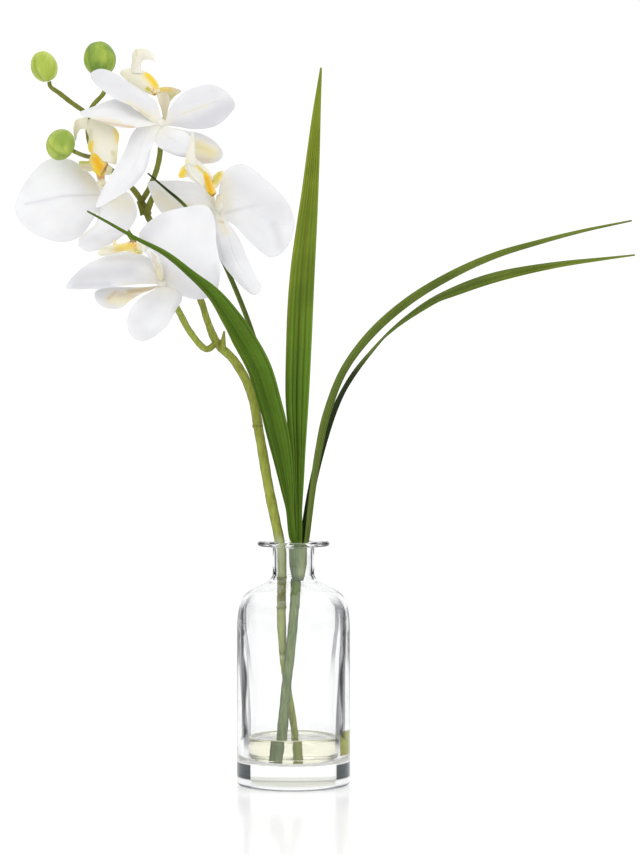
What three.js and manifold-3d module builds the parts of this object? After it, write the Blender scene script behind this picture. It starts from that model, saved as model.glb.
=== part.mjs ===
// A spray of moth orchid and a tuft of grass blades in a clear glass bottle vase with a little water.
// Millimetres, Z up. The origin is the middle of the vase's base, and the spray is seen from -Y.

import * as THREE from 'three';
import { mergeVertices } from 'three/addons/utils/BufferGeometryUtils.js';
import Module from 'manifold-3d';

const wasm = await Module();
wasm.setup();

// Vase
const VASE_HEIGHT = 150;
const BODY_RADIUS = 35;
const BODY_TOP = 97;
const BASE_ROUND = 2.5;
const NECK_BOTTOM = 128;
const NECK_RADIUS = 12.9;
const BORE_RADIUS = 10.9;
const RIM_RADIUS = 22.4;
const RIM_THICKNESS = 3.3;
const MOUTH_FLARE = 1.7;
const FLOOR_HEIGHT = 14;
const CAVITY_RADIUS = 28;
const CAVITY_ROUND = 5;

// Water, the clearance between pieces that touch, and that of the stems' holes in the water
const WATER_LEVEL = 30;
const CLEARANCE = 0.3;
const HOLE_CLEARANCE = 0.5;

// Thicknesses of the thin parts, at their middles
const PETAL_THICKNESS = 0.8;
const LIP_THICKNESS = 0.9;
const LEAF_THICKNESS = 0.8;
const BRACT_THICKNESS = 0.8;

// How fast the fold of a blade sets in above its flat root
const ROOT_FLATNESS = 7;

// Step along a curve for its direction, how far tip stops go, and how strongly they crowd there
const DIRECTION_STEP = 0.004;
const TIP_REACH = 0.995;
const TIP_CROWDING = 1.6;

// Corners closer than this become one before bodies are joined, and edges shorter than this go after it
const WELD = 1e-5;
const SHORTEST_EDGE = 0.02;

// Facets round the vase, the stems, the holes in the water, the hub and the buds
const VASE_SIDES = 28;
const STEM_SIDES = 7;
const STALK_SIDES = 6;
const HOLE_SIDES = 10;
const SHEATH_SIDES = 12;
const COLUMN_SIDES = 8;
const HUB_SIDES = 8;
const HUB_ROWS = 5;
const JOINT_ROWS = 4;
const BUD_SIDES = 14;

// Steps along the stems, the holes, the blades, the columns, the bracts and the buds
const MAIN_STEM_STEPS = 40;
const GRASS_STEM_STEPS = 12;
const HOLE_STEPS = 6;
const BLADE_STEPS = 22;
const COLUMN_STEPS = 5;
const BRACT_STEPS = 3;
const BUD_RINGS = 10;
const LIP_EXTRA_STEPS = 5;

// Colours
const GLASS_COLOR = 0xf2f5f4;
const WATER_COLOR = 0xe6ecd8;
const ORCHID_STEM_COLOR = 0x838c33;
const GRASS_STEM_COLOR = 0x7c8f62;
const BLADE_COLOR = 0x4d7a22;
const BUD_COLOR = 0x86b83c;
const PETAL_COLOR = 0xf4f4f6;
const LIP_COLOR = 0xf2cf4a;
const COLUMN_COLOR = 0xf1e4cf;
const PLANT_ROUGHNESS = 0.55;
const GLASS_ROUGHNESS = 0.05;
const GLASS_OPACITY = 0.35;
const WATER_OPACITY = 0.5;

// Blooms: the hub, and the radii of the stalk, the column and the lip where they meet it
const HUB_RADIUS = 3.2;
const STALK_END = 1.6;
const COLUMN_FOOT = 1.2;
const LIP_FOOT = 1.1;
const LIP_ON_COLUMN_GAP = 1.2;

// Buds: the radius of the stalk at a bud, and how far from the bud it turns into line with it
const BUD_STALK_END = 1.3;
const BUD_APPROACH = 3.8;

// Where the inner face of a part looks when it is turned to the viewer
const TOWARDS_VIEWER = [0, -1, 0];

// Turns a plain list of three numbers into a vector
function vector(list) {
  return new THREE.Vector3(list[0], list[1], list[2]);
}

// A smooth curve through stations, each [x, y, z, size]: point(t) is the place and size(t) the size there
function splineThrough(stations) {
  const places = stations.map((station) => vector(station));
  const sizes = stations.map((station) => new THREE.Vector3(station[3], 0, 0));
  const placeCurve = new THREE.CatmullRomCurve3(places, false, 'catmullrom', 0.5);
  const sizeCurve = new THREE.CatmullRomCurve3(sizes, false, 'catmullrom', 0.5);
  return {
    point: (t) => placeCurve.getPoint(t),
    size: (t) => sizeCurve.getPoint(t).x,
  };
}

// The direction a list of facings gives at t, from the first at t = 0 to the last at t = 1
function facingAt(facings, t) {
  const place = t * (facings.length - 1);
  const index = Math.min(Math.floor(place), Math.max(facings.length - 2, 0));
  const from = vector(facings[index]);
  const to = vector(facings[Math.min(index + 1, facings.length - 1)]);
  return from.lerp(to, place - index).normalize();
}

// Axes of a section at t: along the curve, across it, and out of its inner face
function sectionAxes(curve, t, facings) {
  const before = curve.point(Math.max(t - DIRECTION_STEP, 0));
  const after = curve.point(Math.min(t + DIRECTION_STEP, 1));
  const along = after.sub(before).normalize();
  const across = facingAt(facings, t).cross(along).normalize();
  const inner = along.clone().cross(across);
  return { along, across, inner };
}

// A closed body through rings of equal length, each counter-clockwise about the way they run
function closedBody(rings) {
  const around = rings[0].length;
  const positions = rings.flat().flatMap((point) => [point.x, point.y, point.z]);
  const faces = [];
  for (let ring = 0; ring < rings.length - 1; ring += 1) {
    for (let side = 0; side < around; side += 1) {
      const next = (side + 1) % around;
      const a = ring * around + side;
      const b = ring * around + next;
      const c = a + around;
      const d = b + around;
      faces.push(a, b, d, a, d, c);
    }
  }
  const middles = [rings[0], rings[rings.length - 1]].map((ring) => {
    const middle = new THREE.Vector3();
    ring.forEach((point) => middle.addScaledVector(point, 1 / around));
    positions.push(middle.x, middle.y, middle.z);
    return positions.length / 3 - 1;
  });
  const last = (rings.length - 1) * around;
  for (let side = 0; side < around; side += 1) {
    const next = (side + 1) % around;
    faces.push(middles[0], next, side);
    faces.push(middles[1], last + side, last + next);
  }
  const body = new THREE.BufferGeometry();
  body.setAttribute('position', new THREE.Float32BufferAttribute(positions, 3));
  body.setIndex(faces);
  return body;
}

// A thin arched strip along a curve, with its own half-width, cup across it and fold along its middle.
// A flat root has no fold.
function ribbon({ curve, halfWidth, facings, stops, across = 4, cup = 0, fold = 0, thickness }) {
  const rings = stops.map((t) => {
    const axes = sectionAxes(curve, t, facings);
    const middle = curve.point(t);
    const half = halfWidth(t);
    const front = [];
    const back = [];
    for (let step = 0; step <= across; step += 1) {
      const u = 1 - (2 * step) / across;
      const keel = fold * Math.min(1, ROOT_FLATNESS * t);
      const lift = half * (cup * u * u + keel * Math.abs(u));
      const slope = 2 * cup * u + keel * Math.sign(u);
      const normal = axes.inner.clone().addScaledVector(axes.across, -slope).normalize();
      const place = middle.clone()
        .addScaledVector(axes.across, half * u)
        .addScaledVector(axes.inner, lift);
      front.push(place.clone().addScaledVector(normal, thickness / 2));
      back.unshift(place.clone().addScaledVector(normal, -thickness / 2));
    }
    return [...front, ...back];
  });
  return closedBody(rings);
}

// A round rod along a curve; its size at each station is the radius, and extra widens it all along
function rod({ curve, steps, sides = 8, extra = 0 }) {
  const rings = [];
  for (let step = 0; step <= steps; step += 1) {
    const t = step / steps;
    const axes = sectionAxes(curve, t, [TOWARDS_VIEWER]);
    const middle = curve.point(t);
    const radius = curve.size(t) + extra;
    const ring = [];
    for (let side = 0; side < sides; side += 1) {
      const angle = (2 * Math.PI * side) / sides;
      ring.push(middle.clone()
        .addScaledVector(axes.across, radius * Math.cos(angle))
        .addScaledVector(axes.inner, radius * Math.sin(angle)));
    }
    rings.push(ring);
  }
  return closedBody(rings);
}

// Evenly spaced stops from 0 to 1
function evenStops(count) {
  return Array.from({ length: count + 1 }, (unused, index) => index / count);
}

// Stops that crowd towards the tip, where a petal is round
function tipStops(count) {
  return evenStops(count).map((t) => TIP_REACH * (1 - (1 - t) ** TIP_CROWDING));
}

// A solid that can be joined and cut, from any closed geometry
function toSolid(geometry) {
  const plain = geometry.clone();
  plain.deleteAttribute('normal');
  plain.deleteAttribute('uv');
  const merged = mergeVertices(plain, WELD);
  return new wasm.Manifold(new wasm.Mesh({
    numProp: 3,
    vertProperties: new Float32Array(merged.attributes.position.array),
    triVerts: new Uint32Array(merged.index.array),
  }));
}

// The geometry of a joined or cut solid
function toGeometry(solid) {
  const mesh = solid.getMesh();
  const geometry = new THREE.BufferGeometry();
  geometry.setAttribute('position', new THREE.Float32BufferAttribute(mesh.vertProperties, 3));
  geometry.setIndex(new THREE.Uint32BufferAttribute(mesh.triVerts, 1));
  return geometry;
}

// One body grown from several overlapping ones
function joined(geometries) {
  const solid = geometries.map(toSolid).reduce((sum, next) => sum.add(next));
  return toGeometry(solid.simplify(SHORTEST_EDGE));
}

// A body with others taken out of it
function cut(geometry, holes) {
  const solid = holes.map(toSolid).reduce((rest, hole) => rest.subtract(hole), toSolid(geometry));
  return toGeometry(solid);
}

// A named sub-part with a material of its own
function part(name, geometry, color, roughness = PLANT_ROUGHNESS, opacity = 1) {
  const material = new THREE.MeshStandardMaterial({ color, roughness, metalness: 0 });
  material.opacity = opacity;
  material.transparent = opacity < 1;
  const mesh = new THREE.Mesh(geometry, material);
  mesh.name = name;
  return mesh;
}

// A body turned about the vertical axis, from an outline of [radius, height]
function turned(outline, sides) {
  const points = outline.map(([radius, height]) => new THREE.Vector2(radius, height));
  return new THREE.LatheGeometry(points, sides).rotateX(Math.PI / 2);
}

// Points of an arc from one angle to another, in degrees, about [radius, height]
function arc(centreRadius, centreHeight, radius, from, to, steps) {
  return evenStops(steps).map((t) => {
    const angle = THREE.MathUtils.degToRad(from + (to - from) * t);
    return [centreRadius + radius * Math.cos(angle), centreHeight + radius * Math.sin(angle)];
  });
}

// Points along a smooth curve through a few [radius, height] points
function smoothOutline(points, steps) {
  const curve = new THREE.SplineCurve(points.map(([radius, height]) => new THREE.Vector2(radius, height)));
  return curve.getPoints(steps).map((point) => [point.x, point.y]);
}

// The vase: a heavy base, a straight body, a sloping shoulder, a narrow neck and a flat disc rim
function vaseGeometry() {
  const shoulder = [
    [BODY_RADIUS, BODY_TOP], [34.6, 103], [33.9, 108], [32.6, 113.2], [30.1, 117], [26.2, 119.9],
    [20.6, 122.8], [15.3, 125.6], [NECK_RADIUS, NECK_BOTTOM + 1],
  ];
  const innerShoulder = [
    [BORE_RADIUS, NECK_BOTTOM + 0.5], [13, 124.4], [19.4, 120.9],
    [25.4, 117.7], [29.2, 113.6], [31, 108], [31.2, BODY_TOP],
  ];
  const rimRound = RIM_THICKNESS / 2;
  const rimMiddle = VASE_HEIGHT - rimRound;
  return turned([
    [0, 0],
    ...arc(BODY_RADIUS - BASE_ROUND, BASE_ROUND, BASE_ROUND, -90, 0, 2),
    ...smoothOutline(shoulder, 8),
    [NECK_RADIUS, VASE_HEIGHT - RIM_THICKNESS],
    ...arc(RIM_RADIUS - rimRound, rimMiddle, rimRound, -90, 90, 3),
    [BORE_RADIUS + MOUTH_FLARE, VASE_HEIGHT],
    [BORE_RADIUS + 0.5 * MOUTH_FLARE, VASE_HEIGHT - 3],
    [BORE_RADIUS, VASE_HEIGHT - 9],
    ...smoothOutline(innerShoulder, 6),
    [29.2, 75],
    [CAVITY_RADIUS, 40],
    ...arc(CAVITY_RADIUS - CAVITY_ROUND, FLOOR_HEIGHT + CAVITY_ROUND, CAVITY_ROUND, 0, -90, 4),
    [0, FLOOR_HEIGHT],
  ], VASE_SIDES);
}

// The stem that carries the blooms, from its cut end in the water to the fork below the top buds
const MAIN_STEM = [
  [2.1, 6, FLOOR_HEIGHT + 0.5, 2.1], [0.9, 6, 30, 2.2], [-3.5, 5, 57, 2.3], [-6.2, 3.6, 76, 2.5],
  [-7.5, 2, 99, 2.8], [-7.4, 1, 118, 2.8], [-7.3, 1, 138, 2.9], [-8.6, 1, 150, 3.1],
  [-15.2, 2, 182, 3.1], [-20.9, 4, 214.7, 3], [-26.2, 5, 241.3, 2.9], [-36.1, 5, 260.5, 2.7],
  [-47.5, 5, 272.5, 2.6], [-53.5, 5, 286.5, 2.1], [-57.6, 7, 299, 2.1], [-66, 10, 315, 2.1],
  [-77.5, 13, 331.5, 2.1], [-89, 14.5, 348, 2], [-94.9, 15, 361, 1.9], [-101.5, 16, 370, 1.8],
  [-112, 17, 379, 1.7], [-121.5, 15, 387, 1.6], [-126.6, 13, 396, 1.5], [-128, 11, 406, 1.5],
  [-127.3, 10, 414.5, 1.5],
];

// Small dry bracts at the joints of the stem: base with half-width, then tip
const BRACTS = [
  [[-44, 4.2, 267.5, 2.6], [-43.6, 1.2, 271.5, 1.8], [-42.8, 0.2, 279.5, 0.5]],
  [[-93.5, 13.6, 352.5, 2], [-94.8, 11.6, 356, 1.4], [-97.2, 11, 360.5, 0.4]],
  [[-92, 12.4, 352.5, 2.2], [-88.5, 11.5, 361, 1.8], [-86.6, 11.5, 366.5, 0.8]],
];

// Thickened joints of the stem: place on it and radius
const STEM_JOINTS = [
  [-7.4, 1, 109.5, 3.2], [-7.4, 1, 126, 3.3], [-22.2, 4.2, 221, 3.4], [-47.5, 5, 272.5, 3.3],
  [-91.3, 14.3, 353.5, 2.8],
];

function orchidStemGeometry() {
  const bodies = [rod({ curve: splineThrough(MAIN_STEM), steps: MAIN_STEM_STEPS, sides: STEM_SIDES })];
  const stalks = [...Object.values(BLOOMS).map(bloomStalk), ...Object.values(BUDS).map(budStalk)];
  for (const stations of stalks) {
    bodies.push(rod({ curve: splineThrough(stations), steps: 2 * stations.length, sides: STALK_SIDES }));
  }
  for (const stations of BRACTS) {
    const curve = splineThrough(stations);
    bodies.push(ribbon({
      curve,
      halfWidth: curve.size,
      facings: [TOWARDS_VIEWER],
      stops: evenStops(BRACT_STEPS),
      across: 2,
      thickness: BRACT_THICKNESS,
    }));
  }
  for (const [x, y, z, radius] of STEM_JOINTS) {
    bodies.push(new THREE.SphereGeometry(radius, STEM_SIDES, JOINT_ROWS).translate(x, y, z));
  }
  return joined(bodies);
}

// The sheath of the grass tuft: a cup in the vase's neck, on a bare stem down to the water
const GRASS_STEM = [
  [-8.6, -3, FLOOR_HEIGHT + 0.6, 3.3], [-7.1, -3, 29.4, 3.3], [-4.6, -2.2, 58, 3], [-1.6, -1, 83, 2.9],
  [0.8, 0, 112, 3], [1.5, 0, 125, 3.2],
];
const SHEATH_AXIS = [2.8, 0];
const SHEATH_OUTLINE = [
  [0, 123.5], [3.4, 124], [4.5, 129], [5.4, 136], [5.7, 145.5],
  [5.1, 145.5], [4.8, 136], [4.2, 133], [0, 133],
];

function grassStemGeometry() {
  const sheath = turned(SHEATH_OUTLINE, SHEATH_SIDES).translate(SHEATH_AXIS[0], SHEATH_AXIS[1], 0);
  const bareStem = rod({ curve: splineThrough(GRASS_STEM), steps: GRASS_STEM_STEPS, sides: HOLE_SIDES });
  return joined([bareStem, sheath]);
}

// Grass blades: stations of [x, y, z, half-width] from the sheath to the tip, with the way the face looks
const BLADES = {
  blade_tall: {
    stations: [
      [2.8, -1.2, 133.6, 2.2], [2.8, -1.2, 145.5, 2.3], [3.2, -1.4, 157, 2.2], [3, -1.6, 169, 2.4],
      [2.8, -1.8, 187.5, 3.7], [2.7, -2, 206, 4.8], [2.3, -2, 237, 7.2], [3.4, -2, 273, 7.9],
      [4.5, -2, 299, 7.9], [6, -2, 321, 7.4], [8.1, -2, 343, 6.4], [10.2, -2, 365, 5.2],
      [12.4, -1.5, 391, 3.9], [14.2, -1, 413, 2.6], [17, 0, 442, 0.5],
    ],
    facings: [TOWARDS_VIEWER],
    fold: 0.25,
  },
  blade_left: {
    stations: [
      [2.4, -2.9, 134.2, 1.5], [2.2, -2.9, 147, 1.6], [-0.6, -4.6, 153, 2.2], [-2.1, -6.7, 169, 2.5],
      [-3.4, -7.8, 179, 3.6], [-6.2, -10, 198, 5.6], [-9.8, -14, 216, 6.9], [-14.3, -18, 234, 7.2],
      [-21.2, -22, 256, 7.6], [-31, -27, 275, 7.2], [-39, -33, 288, 6.2], [-48.6, -39, 299.8, 5.2],
      [-61, -44, 311.3, 3.2], [-76.3, -49, 323.7, 2.2], [-94, -53, 333, 1.4], [-110.6, -55, 342.5, 0.9],
      [-122.5, -55, 349, 0.4],
    ],
    facings: [[0, -1, 0], [0.1, -1, 0.1], [0.1, -0.9, 0.35], [0, -0.7, 0.7], [0, -0.7, 0.7]],
    fold: 0.3,
  },
  blade_back: {
    stations: [
      [2.6, 2.9, 134.2, 1.6], [1.6, 3.4, 150, 1.9], [-5.3, 3, 193, 2.4], [-15.8, 0, 243, 2.4],
      [-27, -2, 282, 2.2], [-42, -3.5, 319, 2], [-52.5, -4, 338, 1.8], [-66.5, -4, 356, 1.6],
      [-78.8, -4, 367, 1.2], [-89.7, -4, 376.5, 0.4],
    ],
    facings: [[0, -1, 0], [0.8, -0.6, 0], [0.8, -0.6, 0], [0.8, -0.6, 0]],
    fold: 0.2,
  },
  blade_right_high: {
    stations: [
      [4.6, 0, 133.6, 1.4], [5.9, 0.1, 145, 1.3], [8.1, 0.5, 151, 1.6], [11.6, 0.8, 181, 2],
      [15.6, 1, 207, 2.3], [20.6, 1, 229, 2.4], [31.2, 0.5, 255.4, 2.4], [48.6, 0, 278.4, 2.7],
      [71.6, 0, 298.2, 2.9], [98, 0, 314, 3], [124.4, 0, 325.8, 2.7], [151.3, 0, 334, 2],
      [178, 0, 341, 1.3], [208.7, 0, 347.6, 0.4],
    ],
    facings: [[0, -1, 0], [0.3, -1, 0], [0.1, -0.9, 0.4], [0, -0.75, 0.65], [0, -0.75, 0.65]],
    fold: 0.3,
  },
  blade_right_low: {
    stations: [
      [3, 1.5, 134, 2.2], [4.4, 1.9, 146, 2.4], [6.8, 3.6, 156, 2.5], [11, 7, 181, 2.4],
      [17, 11, 206.5, 2.5], [24.2, 14, 229, 2.7], [33.2, 16, 247.8, 2.9], [46.5, 18, 266, 3.2],
      [64, 20, 284, 3.8], [85, 22, 298.9, 4.8], [99, 23, 305.4, 5.2], [119, 24, 312.5, 4.5],
      [139.6, 25, 317.7, 3.6], [166.8, 26, 322.6, 2.4], [194, 27, 326, 1.3], [214, 28, 328.3, 0.4],
    ],
    facings: [
      [0, -1, 0], [0.1, -1, 0], [0.6, -0.45, -0.5], [0.3, 0.4, -0.75], [0, 0.8, -0.6], [0, 0.7, -0.7],
    ],
    fold: 0.25,
  },
};

function bladeGeometry({ stations, facings, fold }) {
  const curve = splineThrough(stations);
  return ribbon({
    curve,
    halfWidth: curve.size,
    facings,
    stops: evenStops(BLADE_STEPS),
    across: 2,
    fold,
    thickness: LEAF_THICKNESS,
  });
}

// Buds: the end on the stalk, the far end, the largest radius, and the stalk from the main stem
const BUDS = {
  bud_left: {
    base: [-151.3, 4, 434.2],
    tip: [-157.2, 2, 452.2],
    radius: 8.2,
    stalk: [[-127.3, 10, 414.5, 1.4], [-137.4, 8, 421.2, 1.5], [-144.7, 6, 426.8, 1.5]],
  },
  bud_top: {
    base: [-117.4, 2, 437.2],
    tip: [-121.8, -1, 458],
    radius: 10,
    stalk: [
      [-127.3, 10, 414.5, 1.4], [-123.9, 8, 420.4, 1.4], [-117.6, 5.6, 427, 1.4],
    ],
  },
  bud_low: {
    base: [-135.2, -12.4, 389.6],
    tip: [-149.6, -18, 396.4],
    radius: 9.8,
    stalk: [[-122.5, 14.5, 388, 1.4], [-127.7, 3, 387.6, 1.4]],
  },
};

// Half of a bud's outline: the radius as a share of its largest one, at a share of its length
const BUD_OUTLINE = [
  [0, 0], [0.42, 0.03], [0.78, 0.17], [0.98, 0.38], [0.97, 0.6], [0.75, 0.82], [0.4, 0.96], [0, 1],
];

// A bud's stalk, which turns into line with the bud and stops just short of it
function budStalk({ base, tip, stalk }) {
  const axis = vector(tip).sub(vector(base)).normalize();
  const ends = [BUD_APPROACH, CLEARANCE].map((distance) => {
    const place = vector(base).addScaledVector(axis, -distance);
    return [place.x, place.y, place.z, BUD_STALK_END];
  });
  return [...stalk, ...ends];
}

function budMesh(name, { base, tip, radius }) {
  const axis = vector(tip).sub(vector(base));
  const length = axis.length();
  const outline = smoothOutline(BUD_OUTLINE, BUD_RINGS)
    .map(([share, height]) => new THREE.Vector2(Math.max(share, 0) * radius, height * length));
  outline[0].set(0, 0);
  outline[outline.length - 1].set(0, length);
  const mesh = part(name, new THREE.LatheGeometry(outline, BUD_SIDES), BUD_COLOR);
  mesh.position.copy(vector(base));
  mesh.quaternion.setFromUnitVectors(new THREE.Vector3(0, 1, 0), axis.normalize());
  return mesh;
}

// How finely a petal and a flap of a lip are made, and how thick they are
const PETAL_MAKE = { stops: 8, across: 4, thickness: PETAL_THICKNESS };
const FLAP_MAKE = { stops: 6, across: 2, thickness: LIP_THICKNESS };

// A petal or a flap, from its edge: places from its base along one side, round its tip and back.
// Its camber arches the middle towards the viewer, as a share of its half-width.
function petalGeometry({ edge, camber }, { stops, across, thickness }) {
  const outline = new THREE.CatmullRomCurve3(edge.map(vector), false, 'catmullrom', 0.5);
  const sides = (t) => [outline.getPoint(t / 2), outline.getPoint(1 - t / 2)];
  const middle = (t) => {
    const [left, right] = sides(t);
    return left.lerp(right, 0.5);
  };
  const sections = tipStops(stops).map((t) => {
    const [left, right] = sides(t);
    const before = middle(Math.max(t - DIRECTION_STEP, 0));
    const along = middle(Math.min(t + DIRECTION_STEP, 1)).sub(before).normalize();
    const beside = left.clone().sub(right).normalize();
    const inner = along.cross(beside).normalize();
    return { place: middle(t), half: left.distanceTo(right) / 2, beside, inner };
  });
  const turn = sections.reduce((sum, { inner }) => sum + inner.dot(vector(TOWARDS_VIEWER)), 0);
  const arch = Math.sign(turn) * camber;
  const rings = sections.map(({ place, half, beside, inner }) => {
    const front = [];
    const back = [];
    for (let step = 0; step <= across; step += 1) {
      const u = 1 - (2 * step) / across;
      const normal = inner.clone().addScaledVector(beside, 2 * arch * u).normalize();
      const spot = place.clone()
        .addScaledVector(beside, half * u)
        .addScaledVector(inner, half * arch * (1 - u * u));
      front.push(spot.clone().addScaledVector(normal, thickness / 2));
      back.unshift(spot.clone().addScaledVector(normal, -thickness / 2));
    }
    return [...front, ...back];
  });
  return closedBody(rings);
}

// The four open blooms. Each has its sepals and petals round a hub, and a lip and a column in front of it.
// The lip is a strip from the hub with flaps grown on it.
const BLOOMS = {
  bloom_top: {
    hub: [-81, -12, 406],
    petals: [
      {
        camber: 0.12,
        edge: [
          [-80.8, -13, 409], [-84, -10, 419.5], [-91, -8, 426], [-106, -9, 435.5], [-117, -13, 439.3],
          [-123.8, -17, 435.8], [-119.5, -18, 428.8], [-108, -18, 420], [-98, -17, 415.5],
          [-92, -15, 411.3], [-84, -13.5, 405.5],
        ],
      },
      {
        camber: 0.06,
        edge: [
          [-78.5, -13.5, 407], [-75, -11, 417], [-67, -8, 426], [-53, -7, 430.5], [-42, -9, 427],
          [-35.8, -10, 418.5], [-39, -10, 412], [-48, -9, 405], [-60, -10, 402.8], [-72, -12, 404.3],
          [-80, -14, 405],
        ],
      },
      {
        camber: 0.14,
        edge: [
          [-92, -12, 408], [-99, -11, 400], [-103, -13, 389.5], [-108.8, -18, 377.7], [-115.3, -24, 366.2],
          [-119.2, -30, 353.3], [-108.1, -27, 359], [-97.5, -22, 367.4], [-90, -17, 378], [-86, -14, 392],
          [-80, -14, 404],
        ],
      },
      {
        camber: 0.02,
        edge: [
          [-82.5, -12, 407.5], [-95.5, -2, 414], [-105.3, 3, 420.6], [-113.4, 3, 421.2], [-125, -4, 416.5],
          [-134, -15, 411.3], [-127, -26, 408.5], [-118.6, -30, 406.5], [-107, -31, 403.2], [-97, -26, 403],
          [-82, -14, 405],
        ],
      },
      {
        camber: -0.16,
        edge: [
          [-78.5, -13.5, 404.5], [-66, -10, 402], [-55, -6, 400.2], [-47.5, -4, 395.5], [-43.2, -4, 388.5],
          [-46, -4, 384], [-53, -5, 382.3], [-62, -9, 383], [-79, -13, 397],
        ],
      },
      {
        camber: 0.12,
        edge: [
          [-79, -14, 405], [-72, -15, 402.5], [-66, -17, 400.5], [-62, -19, 396], [-60.8, -20, 390.5],
          [-62.5, -19, 385.5], [-69, -17, 385.3], [-76, -15, 387.8], [-84, -14, 394],
        ],
      },
    ],
    flaps: [
      {
        camber: -0.1,
        edge: [
          [-83.4, -3.5, 422], [-84, -3, 425.5], [-82.8, -2, 429.3], [-76, 0, 430], [-69.3, 1, 427.8],
          [-73.5, -1, 424], [-76, -3.5, 420.5],
        ],
      },
      {
        camber: 0.2,
        edge: [
          [-85.5, -3.5, 424], [-92, -1, 427], [-101, 1, 433], [-107, 1, 438.3], [-104.5, 1, 441.2],
          [-97.5, 1, 441.5], [-89.5, -0.5, 438.6], [-84.2, -1.5, 433.5], [-82, -2.5, 427],
        ],
      },
      {
        camber: 0.3,
        edge: [
          [-101, 0.5, 438.5], [-99.8, 0, 445], [-99.4, 0, 450.5], [-97, 0, 453.3], [-91, -1, 453.4],
          [-87.3, -2, 451], [-85.2, -4, 444.8], [-87.3, -3.5, 446.2], [-90.3, -2.5, 446.7],
          [-93, -1.5, 446.2], [-94, -1, 443.5], [-93.8, -0.5, 440.5], [-91.5, -0.5, 438],
        ],
      },
    ],
    stalk: [
      [-95.2, 14.5, 360, 1.8], [-90, 13, 368.5, 1.7], [-85.2, 8, 379, 1.7], [-82.6, 2, 388.5, 1.7],
      [-81.5, -5, 398.5, 1.6],
    ],
    lip: [
      [-79, -8.6, 410.8, 1.2], [-79.2, -6, 416, 2.2], [-79.7, -4, 421, 3.6], [-81, -2.5, 426, 3],
    ],
    lipFacings: [[0.2, -1, 0.1]],
    column: [
      [-84.8, -6.6, 414.8, 1.8], [-86.1, -5, 417.6, 1.6],
    ],
  },
  bloom_left: {
    hub: [-117.5, 2, 366.5],
    petals: [
      {
        camber: 0.08,
        edge: [
          [-119.5, 1.2, 368.5], [-126, 1, 377], [-138, 0, 385.5], [-152, -1, 385], [-165.5, -2, 371],
          [-171.6, -3, 354], [-162.5, -2, 341.3], [-146, -1, 334.6], [-133, 0, 337], [-124, 1, 348],
          [-117, 1, 361],
        ],
      },
      {
        camber: 0.16,
        edge: [
          [-118.5, 1, 365], [-119, -2, 358], [-119.8, -5, 351], [-122, -8, 344.5], [-126.5, -10, 340],
          [-131, -12, 336], [-131.4, -14, 331], [-124, -14, 327.5], [-109.5, -13, 334], [-99.5, -11, 343],
          [-96, -7, 353], [-101.5, -2, 364.5], [-114, 1, 367],
        ],
      },
      {
        camber: 0.1,
        edge: [
          [-119.5, 1, 364], [-121, 2, 350], [-118, 3, 340], [-113, 3, 336], [-107, 2, 342],
          [-106, 1.5, 352], [-115, 0.5, 364],
        ],
      },
      {
        camber: 0.1,
        edge: [
          [-116.5, 3.5, 368.5], [-109, 5, 375.5], [-101.5, 6, 384.5], [-94, 6, 392.5], [-92.5, 6, 384.5],
          [-100, 5, 374], [-113, 3.5, 365.5],
        ],
      },
      {
        camber: 0.1,
        edge: [
          [-119.5, 4, 368.5], [-129, 6, 376.5], [-141, 6, 382.5], [-149, 6, 379], [-143, 6, 371],
          [-131, 5, 366], [-119, 4, 364],
        ],
      },
    ],
    flaps: [
      {
        camber: 0.25,
        edge: [
          [-121, -10, 384], [-125.8, -10, 391], [-125.5, -9.5, 398], [-127, -9, 403.5], [-124.5, -9, 409.5],
          [-114.5, -9, 407.5], [-107.3, -10, 401], [-107.3, -10.5, 394], [-108.5, -10.5, 381],
        ],
      },
      {
        camber: 0.2,
        edge: [
          [-126, -9, 402.3], [-130, -9, 403.2], [-132.4, -8, 400.5], [-133.8, -6.5, 396.2],
          [-135, -8, 402.5], [-133.5, -9, 408.5], [-126, -9, 411],
        ],
      },
      {
        camber: 0.3,
        edge: [
          [-118.5, -10.4, 373.8], [-123.5, -10.4, 378], [-125.3, -10.4, 384], [-121.5, -10.6, 389.3],
          [-116.3, -10.8, 385.5], [-113.3, -10.8, 380.5], [-115.2, -10.6, 375.5],
        ],
      },
      {
        camber: 0.1,
        edge: [
          [-120, -9.6, 383], [-126, -11, 383.4], [-131.4, -11.5, 382.7], [-128.3, -11.5, 377.3],
          [-119.8, -9.4, 377.5],
        ],
      },
      {
        camber: 0.1,
        edge: [
          [-116, -10.4, 378], [-113.5, -11, 380.5], [-110.8, -11.5, 379.3], [-112, -11.5, 375],
          [-116, -10.4, 374.5],
        ],
      },
    ],
    stalk: [
      [-84.5, 13, 341.6, 1.8], [-96, 11.5, 332, 1.8], [-101, 12, 338.5, 1.7], [-110, 12, 352, 1.7],
    ],
    lip: [
      [-118.5, -6, 375, 2.5], [-119, -9, 382, 3.5], [-118.5, -10, 388, 4.5],
    ],
    lipFacings: [[0, -1, 0.1]],
    column: [
      [-116.8, -7, 366.8, 2.5], [-117.6, -12.5, 370.2, 2.8],
    ],
  },
  bloom_right: {
    hub: [-47, -2, 354.5],
    petals: [
      {
        camber: 0.08,
        edge: [
          [-46, -3, 366], [-43, -2, 377.5], [-31, 0, 382.6], [-17, -1, 373], [-4, -3, 359.5],
          [0.6, -6, 346], [-3.5, -6, 331.5], [-14, -5, 324.6], [-27, -3, 334.5], [-37, -3, 345],
          [-45.5, -3, 348],
        ],
      },
      {
        camber: 0.05,
        edge: [
          [-49, -2.5, 357], [-60, 1, 352.5], [-74, 4, 347.5], [-84, 5, 337], [-74, 5, 322], [-58, 4, 328],
          [-48, -2.5, 345],
        ],
      },
      {
        camber: 0.18,
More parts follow.
